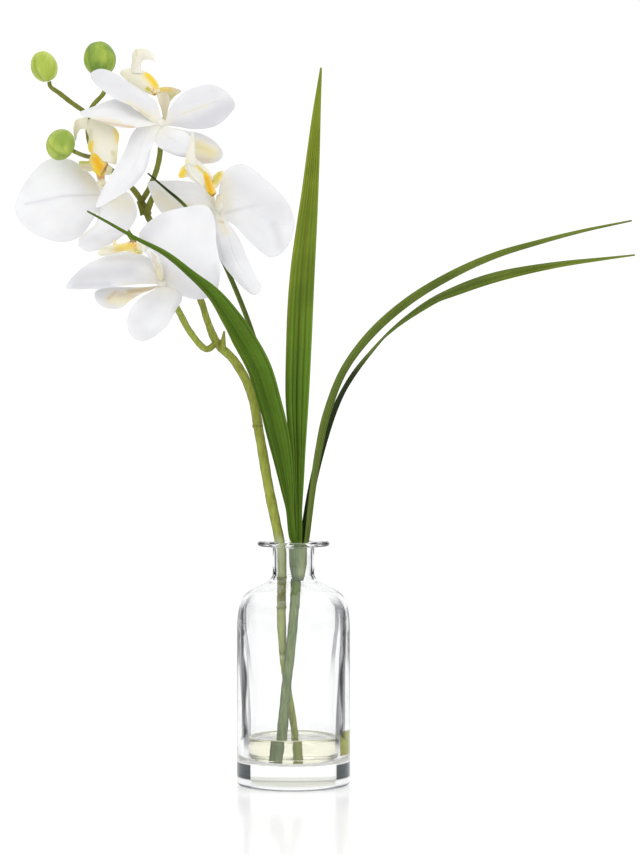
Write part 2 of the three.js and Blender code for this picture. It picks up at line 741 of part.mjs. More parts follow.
        edge: [
          [-48.5, -2.5, 352.5], [-48.6, -4, 341], [-44.8, -7, 327.5], [-38, -9, 316], [-29, -11, 304.8],
          [-23, -12, 301.1], [-19.2, -12, 305.5], [-23, -11, 313.5], [-28.5, -9, 325], [-34.5, -6, 338.5],
          [-44.5, -2.5, 351.5],
        ],
      },
      {
        camber: -0.06,
        edge: [
          [-48.5, -2, 362], [-58, 1, 370], [-68, 3, 372.3], [-78, 4, 372.8], [-86, 4, 372.6],
          [-90.3, 3.5, 371], [-88.3, 4, 364.5], [-84.5, 4, 356.5], [-79, 3.5, 351.8], [-68, 2, 354.5],
          [-48.5, -2.5, 351],
        ],
      },
      {
        camber: 0.05,
        edge: [
          [-45.5, 0, 359], [-40, 3, 370], [-30, 5, 376], [-20, 6, 372.5], [-24, 6, 363], [-35, 4, 356],
          [-44.8, 0, 353.5],
        ],
      },
    ],
    flaps: [
      {
        camber: 0.2,
        edge: [
          [-52.5, -16, 366], [-57, -18, 368], [-63, -20, 372], [-66, -21.5, 378], [-62.5, -22.5, 382],
          [-58, -21, 379.5], [-54.5, -19, 376.5], [-51.5, -17, 373], [-50, -16, 368],
        ],
      },
      {
        camber: 0.3,
        edge: [
          [-66, -22, 379.5], [-64.8, -23.5, 386], [-62.8, -26, 393], [-60.8, -28, 399.8], [-60, -26, 393.5],
          [-59.6, -23.5, 386], [-58.5, -21, 379.5],
        ],
      },
      {
        camber: 0.15,
        edge: [
          [-62.5, -20.3, 373], [-68.5, -20.5, 372], [-69.8, -20.5, 373.5], [-68.3, -21, 378.3],
          [-65, -21, 380.5],
        ],
      },
      {
        camber: 0.35,
        edge: [
          [-49.3, -17, 360.7], [-52.6, -17.5, 363.8], [-54.2, -18, 369.5], [-56, -18.5, 374.8],
          [-54, -18.5, 376.3], [-51, -18, 373.2], [-49.3, -17.5, 369], [-47.8, -17, 366], [-46.8, -17, 363],
        ],
      },
      {
        camber: 0.15,
        edge: [
          [-48.5, -17, 366], [-49.7, -16.5, 370], [-48.3, -16, 374.3], [-43.3, -14, 377.4],
          [-43.5, -14, 372.5], [-44.8, -15, 369.5], [-46.5, -16.5, 366.5],
        ],
      },
    ],
    stalk: [
      [-70.5, 9.5, 322, 1.8], [-57.5, 12, 337, 1.7], [-50.5, 7.5, 349, 1.6],
    ],
    lip: [
      [-50.8, -9.5, 361.5, 2], [-51.5, -15, 367, 3], [-54, -18, 372, 5], [-59, -20, 377, 5],
      [-62.3, -22.5, 382, 3.4],
    ],
    lipFacings: [[0.2, -1, 0.1]],
    column: [
      [-45.8, -9, 355.5, 2.4], [-45.2, -12.5, 359.5, 2.3], [-45, -14, 362, 1.8],
    ],
  },
  bloom_low: {
    hub: [-79.5, -22, 307.5],
    petals: [
      {
        camber: 0.05,
        edge: [
          [-81, -22, 311], [-87, -24, 322], [-93.5, -24, 334.5], [-91, -27, 341.5], [-80, -30, 349.5],
          [-66, -30, 353.3], [-53, -30, 354.5], [-47.6, -30, 346], [-46.4, -29, 331], [-43.9, -28, 316],
          [-47, -26, 302], [-59, -24, 297.8], [-75, -23, 302.5],
        ],
      },
      {
        camber: 0.1,
        edge: [
          [-80.5, -22.5, 309.5], [-88, -20, 323.5], [-103, -17, 327.5], [-119, -17, 322.5],
          [-131, -21, 314.5], [-137.6, -28, 304.6], [-121, -29, 304.1], [-110, -29, 305.3],
          [-99, -28, 306.3], [-90, -26, 307], [-81, -23.5, 307],
        ],
      },
      {
        camber: -0.1,
        edge: [
          [-80.5, -22.5, 306.5], [-92, -21, 305.6], [-105, -20, 305.3], [-115, -20, 304.6],
          [-120.8, -21, 302.5], [-119, -25, 296], [-112.5, -28, 292.2], [-105, -28, 293],
          [-98.5, -27, 297.8], [-91, -26, 301.3], [-80.5, -23.5, 305.5],
        ],
      },
      {
        camber: 0.12,
        edge: [
          [-82, -24, 305], [-93, -26, 298.5], [-99.3, -29, 289.5], [-100.3, -31, 280.5], [-96, -33, 273.8],
          [-90.5, -34, 272.4], [-84, -33, 274.6], [-76, -31, 281.7], [-71, -28, 291.5], [-67.5, -25, 299.5],
          [-75, -23, 306],
        ],
      },
      {
        camber: 0.1,
        edge: [
          [-80, -21, 309.5], [-77, -16, 320], [-69, -13, 333], [-58.5, -12, 338.5], [-56, -12, 329],
          [-62, -14, 317], [-77, -21, 306.5],
        ],
      },
    ],
    flaps: [
      {
        camber: 0.3,
        edge: [
          [-92.6, -28.7, 331.4], [-97, -27.4, 333.3], [-102, -26.5, 332.1], [-109, -25, 331],
          [-115.5, -23.5, 329.8], [-118.9, -22.5, 326.3], [-116, -23, 324.3], [-109, -24.5, 325.7],
          [-102, -26, 327], [-96, -27.3, 325.3], [-91, -28.7, 325.3],
        ],
      },
    ],
    stalk: [
      [-47.5, 5, 272.5, 2], [-54.5, 1, 268.6, 2], [-63.7, -4, 279, 2], [-70.5, -9, 291.6, 2],
    ],
    lip: [
      [-91.2, -29.2, 328.8, 2.2], [-94.6, -27.6, 329.4, 3],
    ],
    lipFacings: [[-0.3, -1, 0.1]],
    lipOnColumn: true,
    column: [
      [-80.6, -29, 313.5, 2.2], [-81.6, -30.2, 319, 2.3], [-84.6, -30, 324, 2.2],
      [-88.2, -29.6, 327.3, 2.1],
    ],
  },
};

// The place just clear of a hub, on the way to a point
function seatOn(hub, point) {
  const direction = vector(point).sub(vector(hub)).normalize();
  return vector(hub).addScaledVector(direction, HUB_RADIUS + CLEARANCE).toArray();
}

// A bloom's stalk, carried on to the back of its hub
function bloomStalk({ hub, stalk }) {
  return [...stalk, [...seatOn(hub, stalk[stalk.length - 1]), STALK_END]];
}

// A column's stations, from the front of its hub
function columnStations({ hub, column }) {
  return [[...seatOn(hub, column[0]), COLUMN_FOOT], ...column];
}

// Where a lip starts: at the hub, or at the end of a column that it continues
function lipFoot({ hub, column, lip, lipOnColumn }) {
  if (!lipOnColumn) {
    return [...seatOn(hub, lip[0]), LIP_FOOT];
  }
  const [before, end] = column.slice(-2).map(vector);
  const beyond = end.clone().addScaledVector(end.clone().sub(before).normalize(), LIP_ON_COLUMN_GAP);
  return [beyond.x, beyond.y, beyond.z, lip[0][3]];
}

// Petals and sepals grown together at the hub
function tepalsGeometry({ hub, petals }) {
  const bodies = petals.map((petal) => petalGeometry(petal, PETAL_MAKE));
  bodies.push(new THREE.SphereGeometry(HUB_RADIUS, HUB_SIDES, HUB_ROWS).translate(hub[0], hub[1], hub[2]));
  return joined(bodies);
}

// The lip: a strip from the hub, with the flaps that grow on it
function lipGeometry(bloom) {
  const { lip, lipFacings, flaps } = bloom;
  const curve = splineThrough([lipFoot(bloom), ...lip]);
  const strip = ribbon({
    curve,
    halfWidth: curve.size,
    facings: lipFacings,
    stops: evenStops(lip.length + LIP_EXTRA_STEPS),
    across: 4,
    cup: 0.25,
    thickness: LIP_THICKNESS,
  });
  return joined([strip, ...flaps.map((flap) => petalGeometry(flap, FLAP_MAKE))]);
}

function columnGeometry(bloom) {
  return rod({ curve: splineThrough(columnStations(bloom)), steps: COLUMN_STEPS, sides: COLUMN_SIDES });
}

// Everything together
const orchid = new THREE.Group();
orchid.add(part('vase', vaseGeometry(), GLASS_COLOR, GLASS_ROUGHNESS, GLASS_OPACITY));

const waterOutline = [
  [0, FLOOR_HEIGHT + CLEARANCE],
  ...arc(
    CAVITY_RADIUS - CAVITY_ROUND, FLOOR_HEIGHT + CAVITY_ROUND, CAVITY_ROUND - CLEARANCE, -90, 0, 4,
  ),
  [CAVITY_RADIUS - CLEARANCE, WATER_LEVEL],
  [0, WATER_LEVEL],
];
const stemHoles = [MAIN_STEM, GRASS_STEM].map((stations) => {
  const lowEnd = stations[0].slice();
  lowEnd[2] = 0;
  const curve = splineThrough([lowEnd, ...stations.slice(0, 3)]);
  return rod({ curve, steps: HOLE_STEPS, sides: HOLE_SIDES, extra: HOLE_CLEARANCE });
});
const waterBody = cut(turned(waterOutline, VASE_SIDES), stemHoles);
orchid.add(part('water', waterBody, WATER_COLOR, GLASS_ROUGHNESS, WATER_OPACITY));

orchid.add(part('orchid_stem', orchidStemGeometry(), ORCHID_STEM_COLOR));
orchid.add(part('grass_stem', grassStemGeometry(), GRASS_STEM_COLOR));
for (const [name, blade] of Object.entries(BLADES)) {
  orchid.add(part(name, bladeGeometry(blade), BLADE_COLOR));
}
for (const [name, bud] of Object.entries(BUDS)) {
  orchid.add(budMesh(name, bud));
}
for (const [name, bloom] of Object.entries(BLOOMS)) {
  orchid.add(part(`${name}_tepals`, tepalsGeometry(bloom), PETAL_COLOR));
  orchid.add(part(`${name}_lip`, lipGeometry(bloom), LIP_COLOR));
  orchid.add(part(`${name}_column`, columnGeometry(bloom), COLUMN_COLOR));
}

export default orchid;
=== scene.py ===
"""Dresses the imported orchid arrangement: white moth orchids and grass blades in a clear bottle vase."""

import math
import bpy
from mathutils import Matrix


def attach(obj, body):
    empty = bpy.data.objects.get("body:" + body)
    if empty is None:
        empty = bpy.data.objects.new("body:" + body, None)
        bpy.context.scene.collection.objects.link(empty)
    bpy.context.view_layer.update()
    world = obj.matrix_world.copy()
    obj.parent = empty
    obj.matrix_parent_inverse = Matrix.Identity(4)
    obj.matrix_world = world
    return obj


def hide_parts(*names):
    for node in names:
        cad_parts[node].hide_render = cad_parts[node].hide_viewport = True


bl_info = {
    "name": "Orchid in a Bottle Vase",
    "version": (1, 0, 0),
    "blender": (4, 5, 0),
    "location": "View3D > Sidebar > Orchid",
    "description": "Builds a spray of moth orchids and grass blades in a clear bottle vase",
    "category": "Add Mesh",
}

import bpy
import numpy as np
from bpy.props import FloatProperty, FloatVectorProperty, IntProperty, PointerProperty
from mathutils import Vector

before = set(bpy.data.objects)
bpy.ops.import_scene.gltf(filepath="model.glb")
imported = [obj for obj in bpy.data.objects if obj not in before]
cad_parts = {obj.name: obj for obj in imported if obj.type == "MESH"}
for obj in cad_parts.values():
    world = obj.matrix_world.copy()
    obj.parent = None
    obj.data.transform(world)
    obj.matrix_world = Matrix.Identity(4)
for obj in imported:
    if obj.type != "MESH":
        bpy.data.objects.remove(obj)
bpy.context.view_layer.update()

MM = 0.001
BODY = "root"
TOWARDS_VIEWER = (0, -1, 0)

# Vase, in millimetres
VASE_HEIGHT = 150
BODY_RADIUS = 35
BODY_TOP = 97
BASE_ROUND = 2.5
NECK_RADIUS = 12.9
BORE_RADIUS = 10.9
RIM_RADIUS = 22.4
RIM_THICKNESS = 3.3
MOUTH_FLARE = 1.7
FLOOR_HEIGHT = 14
CAVITY_RADIUS = 28
CAVITY_ROUND = 5
WATER_LEVEL = 30
WATER_GAP = 0.02
OUTER_SHOULDER = [
    (BODY_RADIUS, BODY_TOP), (34.6, 103), (33.9, 108), (32.6, 113.2), (30.1, 117), (26.2, 119.9),
    (20.6, 122.8), (15.3, 125.6), (NECK_RADIUS, 129),
]
INNER_SHOULDER = [
    (BORE_RADIUS, 128.5), (13, 124.4), (19.4, 120.9), (25.4, 117.7), (29.2, 113.6), (31, 108),
    (31.2, BODY_TOP), (30.4, 88), (29.2, 75), (28.5, 58), (CAVITY_RADIUS, 40), (CAVITY_RADIUS, 30),
]

# Painted shade and a painted image of the stems on the outside of the glass, which stand in for what
# refraction shows, and its ground foot: [from, to, blur] in height, in metres, and [none, full] in how
# edge-on the surface is seen
# Painted shade over the wall where it is seen edge-on
WALL_EDGE_SHADE = ((0.006, 0.143, 0.001), (0.45, 0.98))
# Painted shade at both ends of the base
BASE_ENDS = ((0.0056, 0.0148, 0.0004), (0.335, 0.365))
# A painted image of the green stems in the wall beside the water
PAINTED_STEM_IMAGE = ((0.0195, 0.0345, 0.0004), (0.185, 0.215))
FOOT_SIDE = ((-0.001, 0.0054, 0.0003), (0.32, 0.36))
# A painted shade line along the bottom edge of the foot
FOOT_SHADE_EDGE = ((-0.001, 0.0018, 0.0006), (0.3, 0.4))
FOOT_SHADE_COLOR = (0.2, 0.22, 0.24)
SEEN_FROM_SIDE = (0.4, 0.65)
STEM_IMAGE_BESIDE = (0.028, 0.029)

# The painted shade line of the wall: its heights, where it runs at the floor, how far it moves out by the
# shoulder, what the left side adds to both, and its width, all in how edge-on the wall is seen
BAND_HEIGHTS = (0.025, 0.113, 0.004)
BAND_MOVES = (0.027, 0.101)
BAND_AT, BAND_OUT = 0.39, 0.11
LEFT_AT, LEFT_OUT = 0.07, 0.15
BAND_WIDTH = (0.05, 0.08)
OUTER_WALL = (0.0285, 0.0295)

# The matt shares and heights of the ground foot and of the painted pale highlight at the water's edge
FOOT_MATT = 0.75
FOOT_HEIGHTS = (-0.001, 0.0026, 0.0003)
EDGE_HIGHLIGHT_MATT = 0.8
EDGE_HIGHLIGHT_HEIGHTS = (0.0297, 0.031, 0.0001)
EDGE_HIGHLIGHT_OUT = (0.0262, 0.027)

# The main stem, each station [x, y, z, radius], from its cut end in the water to its last fork
MAIN_STEM = [
    (2.1, 6, 14.5, 2.1), (0.9, 6, 30, 2.2), (-3.5, 5, 57, 2.3), (-6.2, 3.6, 76, 2.5), (-7.5, 2, 99, 2.8),
    (-7.4, 1, 118, 2.8), (-7.3, 1, 138, 2.9), (-8.6, 1, 150, 3.1), (-15.2, 2, 182, 3.1),
    (-20.9, 4, 214.7, 3), (-26.2, 5, 241.3, 2.9), (-36.1, 5, 260.5, 2.7), (-47.5, 5, 272.5, 2.6),
    (-53.5, 5, 286.5, 2.1), (-57.6, 7, 299, 2.1), (-66, 10, 315, 2.1), (-77.5, 13, 331.5, 2.1),
    (-89, 14.5, 348, 2), (-94.9, 15, 361, 1.9), (-101.5, 16, 370, 1.8), (-112, 17, 379, 1.7),
    (-121.5, 15, 387, 1.6), (-126.6, 13, 396, 1.5), (-128, 11, 406, 1.5), (-127.3, 10, 414.5, 1.5),
]
STEM_JOINTS = [
    (-7.4, 1, 109.5, 3.2), (-7.4, 1, 126, 3.3), (-22.2, 4.2, 221, 3.4), (-47.5, 5, 272.5, 3.3),
    (-91.3, 14.3, 353.5, 2.8),
]
BRACTS = [
    [(-44, 4.2, 267.5, 2.6), (-43.6, 1.2, 271.5, 1.8), (-42.8, 0.2, 279.5, 0.5)],
    [(-93.5, 13.6, 352.5, 2), (-94.8, 11.6, 356, 1.4), (-97.2, 11, 360.5, 0.4)],
    [(-92, 12.4, 352.5, 2.2), (-88.5, 11.5, 361, 1.8), (-86.6, 11.5, 366.5, 0.8)],
]

# The grass stem in the bottle, and the outline of the sheath that the blades grow from
GRASS_STEM = [
    (-8.6, -3, 14.6, 3.3), (-7.1, -3, 29.4, 3.3), (-4.6, -2.2, 58, 3), (-1.6, -1, 83, 2.9),
    (0.8, 0, 112, 3), (1.5, 0, 125, 3.2),
]
SHEATH_AXIS = (2.8, 0)
SHEATH_OUTLINE = [
    (0, 123.5), (3.4, 124), (4.5, 129), (5.4, 136), (5.7, 145.5), (5.1, 145.5), (4.8, 136), (4.2, 133),
    (0, 133),
]

# Grass blades: stations of [x, y, z, half-width], the way the inner face looks, and the fold. A painted
# shade along a groove or a painted highlight along a ridge is [place across, width, strength], one side of
# each blade is brightened by painted light, and turned is the share of the length that shows the underside.
BLADES = {
    "blade_tall": dict(
        stations=[(2.8, -1.2, 133.6, 2.2), (2.8, -1.2, 145.5, 2.3), (3.2, -1.4, 157, 2.2),
        (3, -1.6, 169, 2.4), (2.8, -1.8, 187.5, 3.7), (2.7, -2, 206, 4.8), (2.3, -2, 237, 7.2),
        (3.4, -2, 273, 7.9), (4.5, -2, 299, 7.9), (6, -2, 321, 7.4), (8.1, -2, 343, 6.4),
        (10.2, -2, 365, 5.2), (12.4, -1.5, 391, 3.9), (14.2, -1, 413, 2.6), (17, 0, 442, 0.5)],
        facings=[TOWARDS_VIEWER], fold=0.25, pleats=7, pale_side=0.8, pale_from=(0.4, 0.6), sun=0.8,
        dull=0.03, lit_side=0.25,
        groove=[(0.05, 0.08, 1), (0.42, 0.05, 0.75), (-0.43, 0.05, 0.8), (0.86, 0.06, 0.6)],
        ridge=[(0.6, 0.1, 0.7), (-0.24, 0.1, 0.6), (-0.68, 0.1, 0.8), (-0.97, 0.1, 1)]),
    "blade_left": dict(
        stations=[(2.4, -2.9, 134.2, 1.5), (2.2, -2.9, 147, 1.6), (-0.6, -4.6, 153, 2.2),
        (-2.1, -6.7, 169, 2.5), (-3.4, -7.8, 179, 3.6), (-6.2, -10, 198, 5.6), (-9.8, -14, 216, 6.9),
        (-14.3, -18, 234, 7.2), (-21.2, -22, 256, 7.6), (-31.4, -27, 274.6, 7.5), (-39.5, -33, 287.4, 6.7),
        (-48.6, -39, 299.8, 5.2), (-61, -44, 311.3, 3.2), (-76.3, -49, 323.7, 2.2), (-94, -53, 333, 1.4),
        (-110.6, -55, 342.5, 0.9), (-122.5, -55, 349, 0.4)],
        facings=[(0, -1, 0), (0.1, -1, 0.1), (0.1, -0.9, 0.35), (0, -0.7, 0.7), (0, -0.7, 0.7)], fold=0.3,
        pleats=6, pale_side=0.5, pale_from=(0.45, 0.6), sun=0.0, dull=0.05, lit_side=0.1,
        groove=[(0.3, 0.3, 0.45), (0.85, 0.12, 0.6), (-0.78, 0.06, 0.5)],
        ridge=[(-0.6, 0.1, 0.4), (-0.95, 0.07, 0.6)]),
    "blade_back": dict(
        stations=[(2.6, 2.9, 134.2, 1.6), (1.6, 3.4, 150, 1.9), (-5.3, 3, 193, 2.4), (-15.8, 0, 243, 2.4),
        (-27, -2, 282, 2.2), (-42, -3.5, 319, 2), (-52.5, -4, 338, 1.8), (-66.5, -4, 356, 1.3),
        (-78.8, -4, 367, 0.9), (-89.7, -4, 376.5, 0.4)],
        facings=[(0, -1, 0), (0.8, -0.6, 0), (0.8, -0.6, 0), (0.8, -0.6, 0)], fold=0.2, pleats=4,
        pale_side=0.0, pale_from=(0.4, 0.6), sun=0.15, dull=0.5, lit_side=0.0, turned=(0.78, 2),
        groove=[(-0.3, 0.7, 0.5)], ridge=[(0.8, 0.2, 0.5)]),
    "blade_right_high": dict(
        stations=[(4.6, 0, 133.6, 1.4), (5.9, 0.1, 145, 1.3), (8.1, 0.5, 151, 1.6), (11.6, 0.8, 181, 2),
        (15.6, 1, 207, 2.3), (20.6, 1, 229, 2.4), (31.2, 0.5, 255.4, 2.4), (48.6, 0, 278.4, 2.7),
        (71.6, 0, 298.2, 2.9), (98, 0, 314, 3), (124.4, 0, 325.8, 2.7), (151.3, 0, 334, 2),
        (178, 0, 341, 1.3), (208.7, 0, 347.6, 0.4)],
        facings=[(0, -1, 0), (0.3, -1, 0), (0.1, -0.9, 0.4), (0, -0.75, 0.65), (0, -0.75, 0.65)], fold=0.3,
        pleats=5, pale_side=0.5, pale_from=(0.4, 0.6), sun=0.25, dull=0.45, lit_side=0.0,
        groove=[(-0.2, 0.12, 0.6), (-0.8, 0.12, 0.4)], ridge=[(0.5, 0.2, 0.4), (-0.5, 0.12, 0.3)]),
    "blade_right_low": dict(
        stations=[(3, 1.5, 134, 2.2), (4.4, 1.9, 146, 2.4), (6.8, 3.6, 156, 2.5), (11, 7, 181, 2.4),
        (17, 11, 206.5, 2.5), (24.2, 14, 229, 2.7), (33.2, 16, 247.8, 2.9), (46.5, 18, 266, 3.2),
        (64, 20, 284, 3.8), (85, 22, 298.9, 4.8), (99, 23, 305.4, 5.2), (119, 24, 312.5, 4.5),
        (139.6, 25, 317.7, 3.6), (166.8, 26, 322.6, 2.4), (194, 27, 326, 1.3), (214, 28, 328.3, 0.4)],
        facings=[(0, -1, 0), (0.1, -1, 0), (0.6, -0.45, -0.5), (0.3, 0.4, -0.75), (0, 0.8, -0.6),
        (0, 0.7, -0.7)], fold=0.25, pleats=5, pale_side=0.3, pale_from=(0.5, 0.7), sun=0.3, dull=0.35,
        lit_side=0.0, turned=(-1, 0.47), groove=[(0.2, 0.12, 0.5), (-0.8, 0.15, 0.4)],
        ridge=[(0.5, 0.2, 0.3), (-0.5, 0.12, 0.3)]),
}

# Buds: the end on the stalk, the far end, the largest radius, how ripe the green is, and the stalk
BUDS = {
    "bud_left": dict(
        base=(-151.3, 4, 434.2), tip=(-157.2, 2, 452.2), radius=8.2, ripeness=0.1,
        stalk=[(-127.3, 10, 414.5, 1.4), (-137.4, 8, 421.2, 1.5), (-144.7, 6, 426.8, 1.5)]),
    "bud_top": dict(
        base=(-117.4, 2, 437.2), tip=(-121.8, -1, 458), radius=10, ripeness=1.0,
        stalk=[(-127.3, 10, 414.5, 1.4), (-123.9, 8, 420.4, 1.4), (-117.6, 5.6, 427, 1.4)]),
    "bud_low": dict(
        base=(-135.2, -12.4, 389.6), tip=(-149.6, -18, 396.4), radius=9.8, ripeness=0.6,
        stalk=[(-122.5, 14.5, 388, 1.4), (-127.7, 3, 387.6, 1.4)]),
}
BUD_OUTLINE = [
    (0, 0), (0.42, 0.03), (0.78, 0.17), (0.98, 0.38), (0.97, 0.6), (0.75, 0.82), (0.4, 0.96), (0, 1),
]
BUD_STALK_END = 1.3
BUD_APPROACH = 3.8

# Hubs, and what starts a clearance away from them
HUB_RADIUS = 3.2
CLEARANCE = 0.3
STALK_END = 1.6
COLUMN_FOOT = 1.2
LIP_FOOT = 1.1
LIP_ON_COLUMN_GAP = 1.2
LEAST_LIP = 0.3
HEART_STRENGTH = 0.35

# Marks are strokes of colour on a piece, [x, z, x, z, width, strength], of the kinds named here
STEM_MARKS = ("sheath", "dusk")
PETAL_MARKS = ("cream", "shade", "blush")
LIP_MARKS = ("pale", "gold", "orange", "tan", "green", "brown", "speck")
STEM_STROKES = dict(
    sheath=[(-9, 149, -7.4, 128, 4, 0.75), (-7.4, 107, -6.8, 84, 4, 0.3), (-10, 76.5, -3, 76.5, 0.8, 0.8)],
    dusk=[(-7.4, 123.5, -7.4, 111.5, 3.5, 0.85), (-10.5, 126, -4.3, 126, 0.9, 0.9),
    (-10.5, 109, -4.3, 109, 0.8, 0.8), (-10, 78, -3, 78, 0.8, 0.8), (-25.5, 221, -19, 221, 0.7, 0.6),
    (-85, 345, -130, 420, 34, 0.55), (-85, 370, -80, 400, 10, 0.55), (-151, 430, -130, 415, 8, 0.6),
    (-92, 345, -94, 362, 7, 0.8)],
)
GRASS_STROKES = dict(
    sheath=[(6, 142, 4.5, 128, 2.2, 0.6)],
    dusk=[(-1.5, 144, -0.8, 128, 2.2, 0.5), (-3, 124, 6, 124, 1.1, 0.8)],
)

# The four open blooms. Each petal or flap of a lip is given by its edge: points [x, y, z] from the hub
# along one side, round its tip and back along the other, and by its marks. Shade marks are painted shade,
# blush is partly painted shade along folds, and cream on inner faces in shadow is painted warm shade
TOP_PETALS = [
    dict(edge=[(-80.8, -13, 409), (-84, -10, 419.5), (-91, -8, 426), (-106, -9, 435.5), (-117, -13, 439.3),
        (-123.8, -17, 435.8), (-119.5, -18, 428.8), (-108, -18, 420), (-98, -17, 415.5), (-92, -15, 411.3),
        (-84, -13.5, 405.5)],
        camber=0.12, crease=-0.45, cream=[(-101, 418, -85, 408.5, 2.2, 0.55)],
        blush=[(-99, 416.6, -88, 410, 0.7, 0.5)], shade=[(-120, 437, -92, 416, 10, 0.5)]),
    dict(edge=[(-78.5, -13.5, 407), (-75, -11, 417), (-67, -8, 426), (-53, -7, 430.5), (-42, -9, 427),
        (-35.8, -10, 418.5), (-39, -10, 412), (-48, -9, 405), (-60, -10, 402.8), (-72, -12, 404.3),
        (-80, -14, 405)],
        camber=0.06, crease=0.26, fold=0.16, cream=[(-68, 412, -52, 418, 1.4, 0.3)],
        shade=[(-72, 404.5, -50, 406, 6, 1), (-58, 407, -39, 416, 7, 1), (-72, 410.5, -47, 420, 0.6, 0.8),
        (-74, 414, -50, 426, 8, 0.5)]),
    dict(edge=[(-92, -12, 408), (-99, -11, 400), (-103, -13, 389.5), (-108.8, -18, 377.7),
        (-115.3, -24, 366.2), (-119.2, -30, 353.3), (-108.1, -27, 359), (-97.5, -22, 367.4),
        (-90, -17, 378), (-86, -14, 392), (-80, -14, 404)],
        camber=0.14, crease=0.1, shade=[(-90, 377, -87, 388, 1.6, 0.7), (-99, 367, -91, 376, 1.4, 0.6)]),
    dict(edge=[(-82.5, -12, 407.5), (-95.5, -7, 414), (-105.3, -6, 420.6), (-113.4, -7, 421.2),
        (-123.5, -11, 416.8), (-130.5, -17, 412), (-125.5, -22, 408.5), (-118.6, -24, 406.5),
        (-107, -24, 403.2), (-97, -20, 403), (-82, -14, 405)],
        camber=0.02, crease=0.1, cream=[(-122, 408.5, -106, 406.5, 1.2, 0.4)],
        blush=[(-119, 406, -97, 402.8, 0.9, 1), (-117, 406, -98, 403, 1.6, 0.5)]),
    # The far half of a folded petal, seen from inside: its cream is painted warm shade
    dict(edge=[(-78.5, -13.5, 404.5), (-66, -10, 402), (-55, -6, 400.2), (-47.5, -4, 395.5),
        (-43.2, -4, 388.5), (-46, -4, 384), (-53, -5, 382.3), (-62, -9, 383), (-79, -13, 397)],
        camber=-0.16, cream=[(-58, 393, -50, 389, 4, 1), (-59, 390, -51, 387.5, 2.5, 0.8)],
        shade=[(-60, 401, -46, 394, 2.5, 0.8), (-45, 391, -47, 386, 2, 0.8), (-46, 385, -58, 383.6, 2, 1)],
        blush=[(-60, 385.5, -52, 384, 2.6, 0.6)]),
    dict(edge=[(-79, -14, 405), (-72, -15, 402.5), (-66, -17, 400.5), (-62, -19, 396), (-60.8, -20, 390.5),
        (-62.5, -19, 385.5), (-69, -17, 385.3), (-76, -15, 387.8), (-83.5, -14.5, 392.5),
        (-84.6, -14.5, 398)],
        camber=0.12, shade=[(-79, 389.5, -72, 386.3, 1, 1), (-72, 386, -64, 385.3, 1.2, 1),
        (-61.5, 398, -61, 388, 1, 0.6)]),
]
TOP_FLAPS = [
    dict(edge=[(-83.4, -3.5, 422), (-84, -3, 425.5), (-82.8, -2, 429.3), (-76, 0, 430), (-69.3, 1, 427.8),
        (-73.5, -1, 424), (-76, -3.5, 420.5)],
        camber=-0.1, tan=[(-84, 422, -70, 427, 6, 0.55)], gold=[(-82.5, 428.2, -76, 428, 1.8, 0.9)],
        green=[(-75, 424, -73.5, 425, 2, 0.5)], pale=[(-80, 424, -79, 421, 2, 0.6)]),
    dict(edge=[(-85.5, -3.5, 424), (-92, -1, 427), (-101, 1, 433), (-107, 1, 438.3), (-104.5, 1, 441.2),
        (-97.5, 1, 441.5), (-89.5, -0.5, 438.6), (-84.2, -1.5, 433.5), (-82, -2.5, 427)],
        camber=0.2, gold=[(-90, 437.5, -84.5, 430.5, 2.6, 1), (-90, 428.5, -88.6, 428, 1.3, 1),
        (-86, 425.7, -84.5, 425.5, 0.9, 1)], green=[(-90.3, 428.8, -89, 427.8, 0.9, 0.7)],
        orange=[(-86.5, 428.5, -84.8, 428.6, 1, 0.25)],
        brown=[(-87.2, 426.8, -86.9, 426.6, 0.5, 1), (-86.3, 425, -83.8, 424.8, 0.45, 1)],
        speck=[(-88, 428, -84, 427, 1.8, 0.8)]),
    dict(edge=[(-101, 0.5, 438.5), (-99.8, 0, 445), (-99.4, 0, 450.5), (-97, 0, 453.3), (-91, -1, 453.4),
        (-87.3, -2, 451), (-85.2, -4, 444.8), (-87.3, -3.5, 446.2), (-90.3, -2.5, 446.7),
        (-93, -1.5, 446.2), (-94, -1, 443.5), (-93.8, -0.5, 440.5), (-91.5, -0.5, 438)],
        camber=0.3, pale=[(-97, 440, -91, 450, 5, 0.9)],
        tan=[(-97, 452.5, -96.5, 449, 0.9, 0.4), (-98, 442, -94, 452, 4, 0.12)]),
]
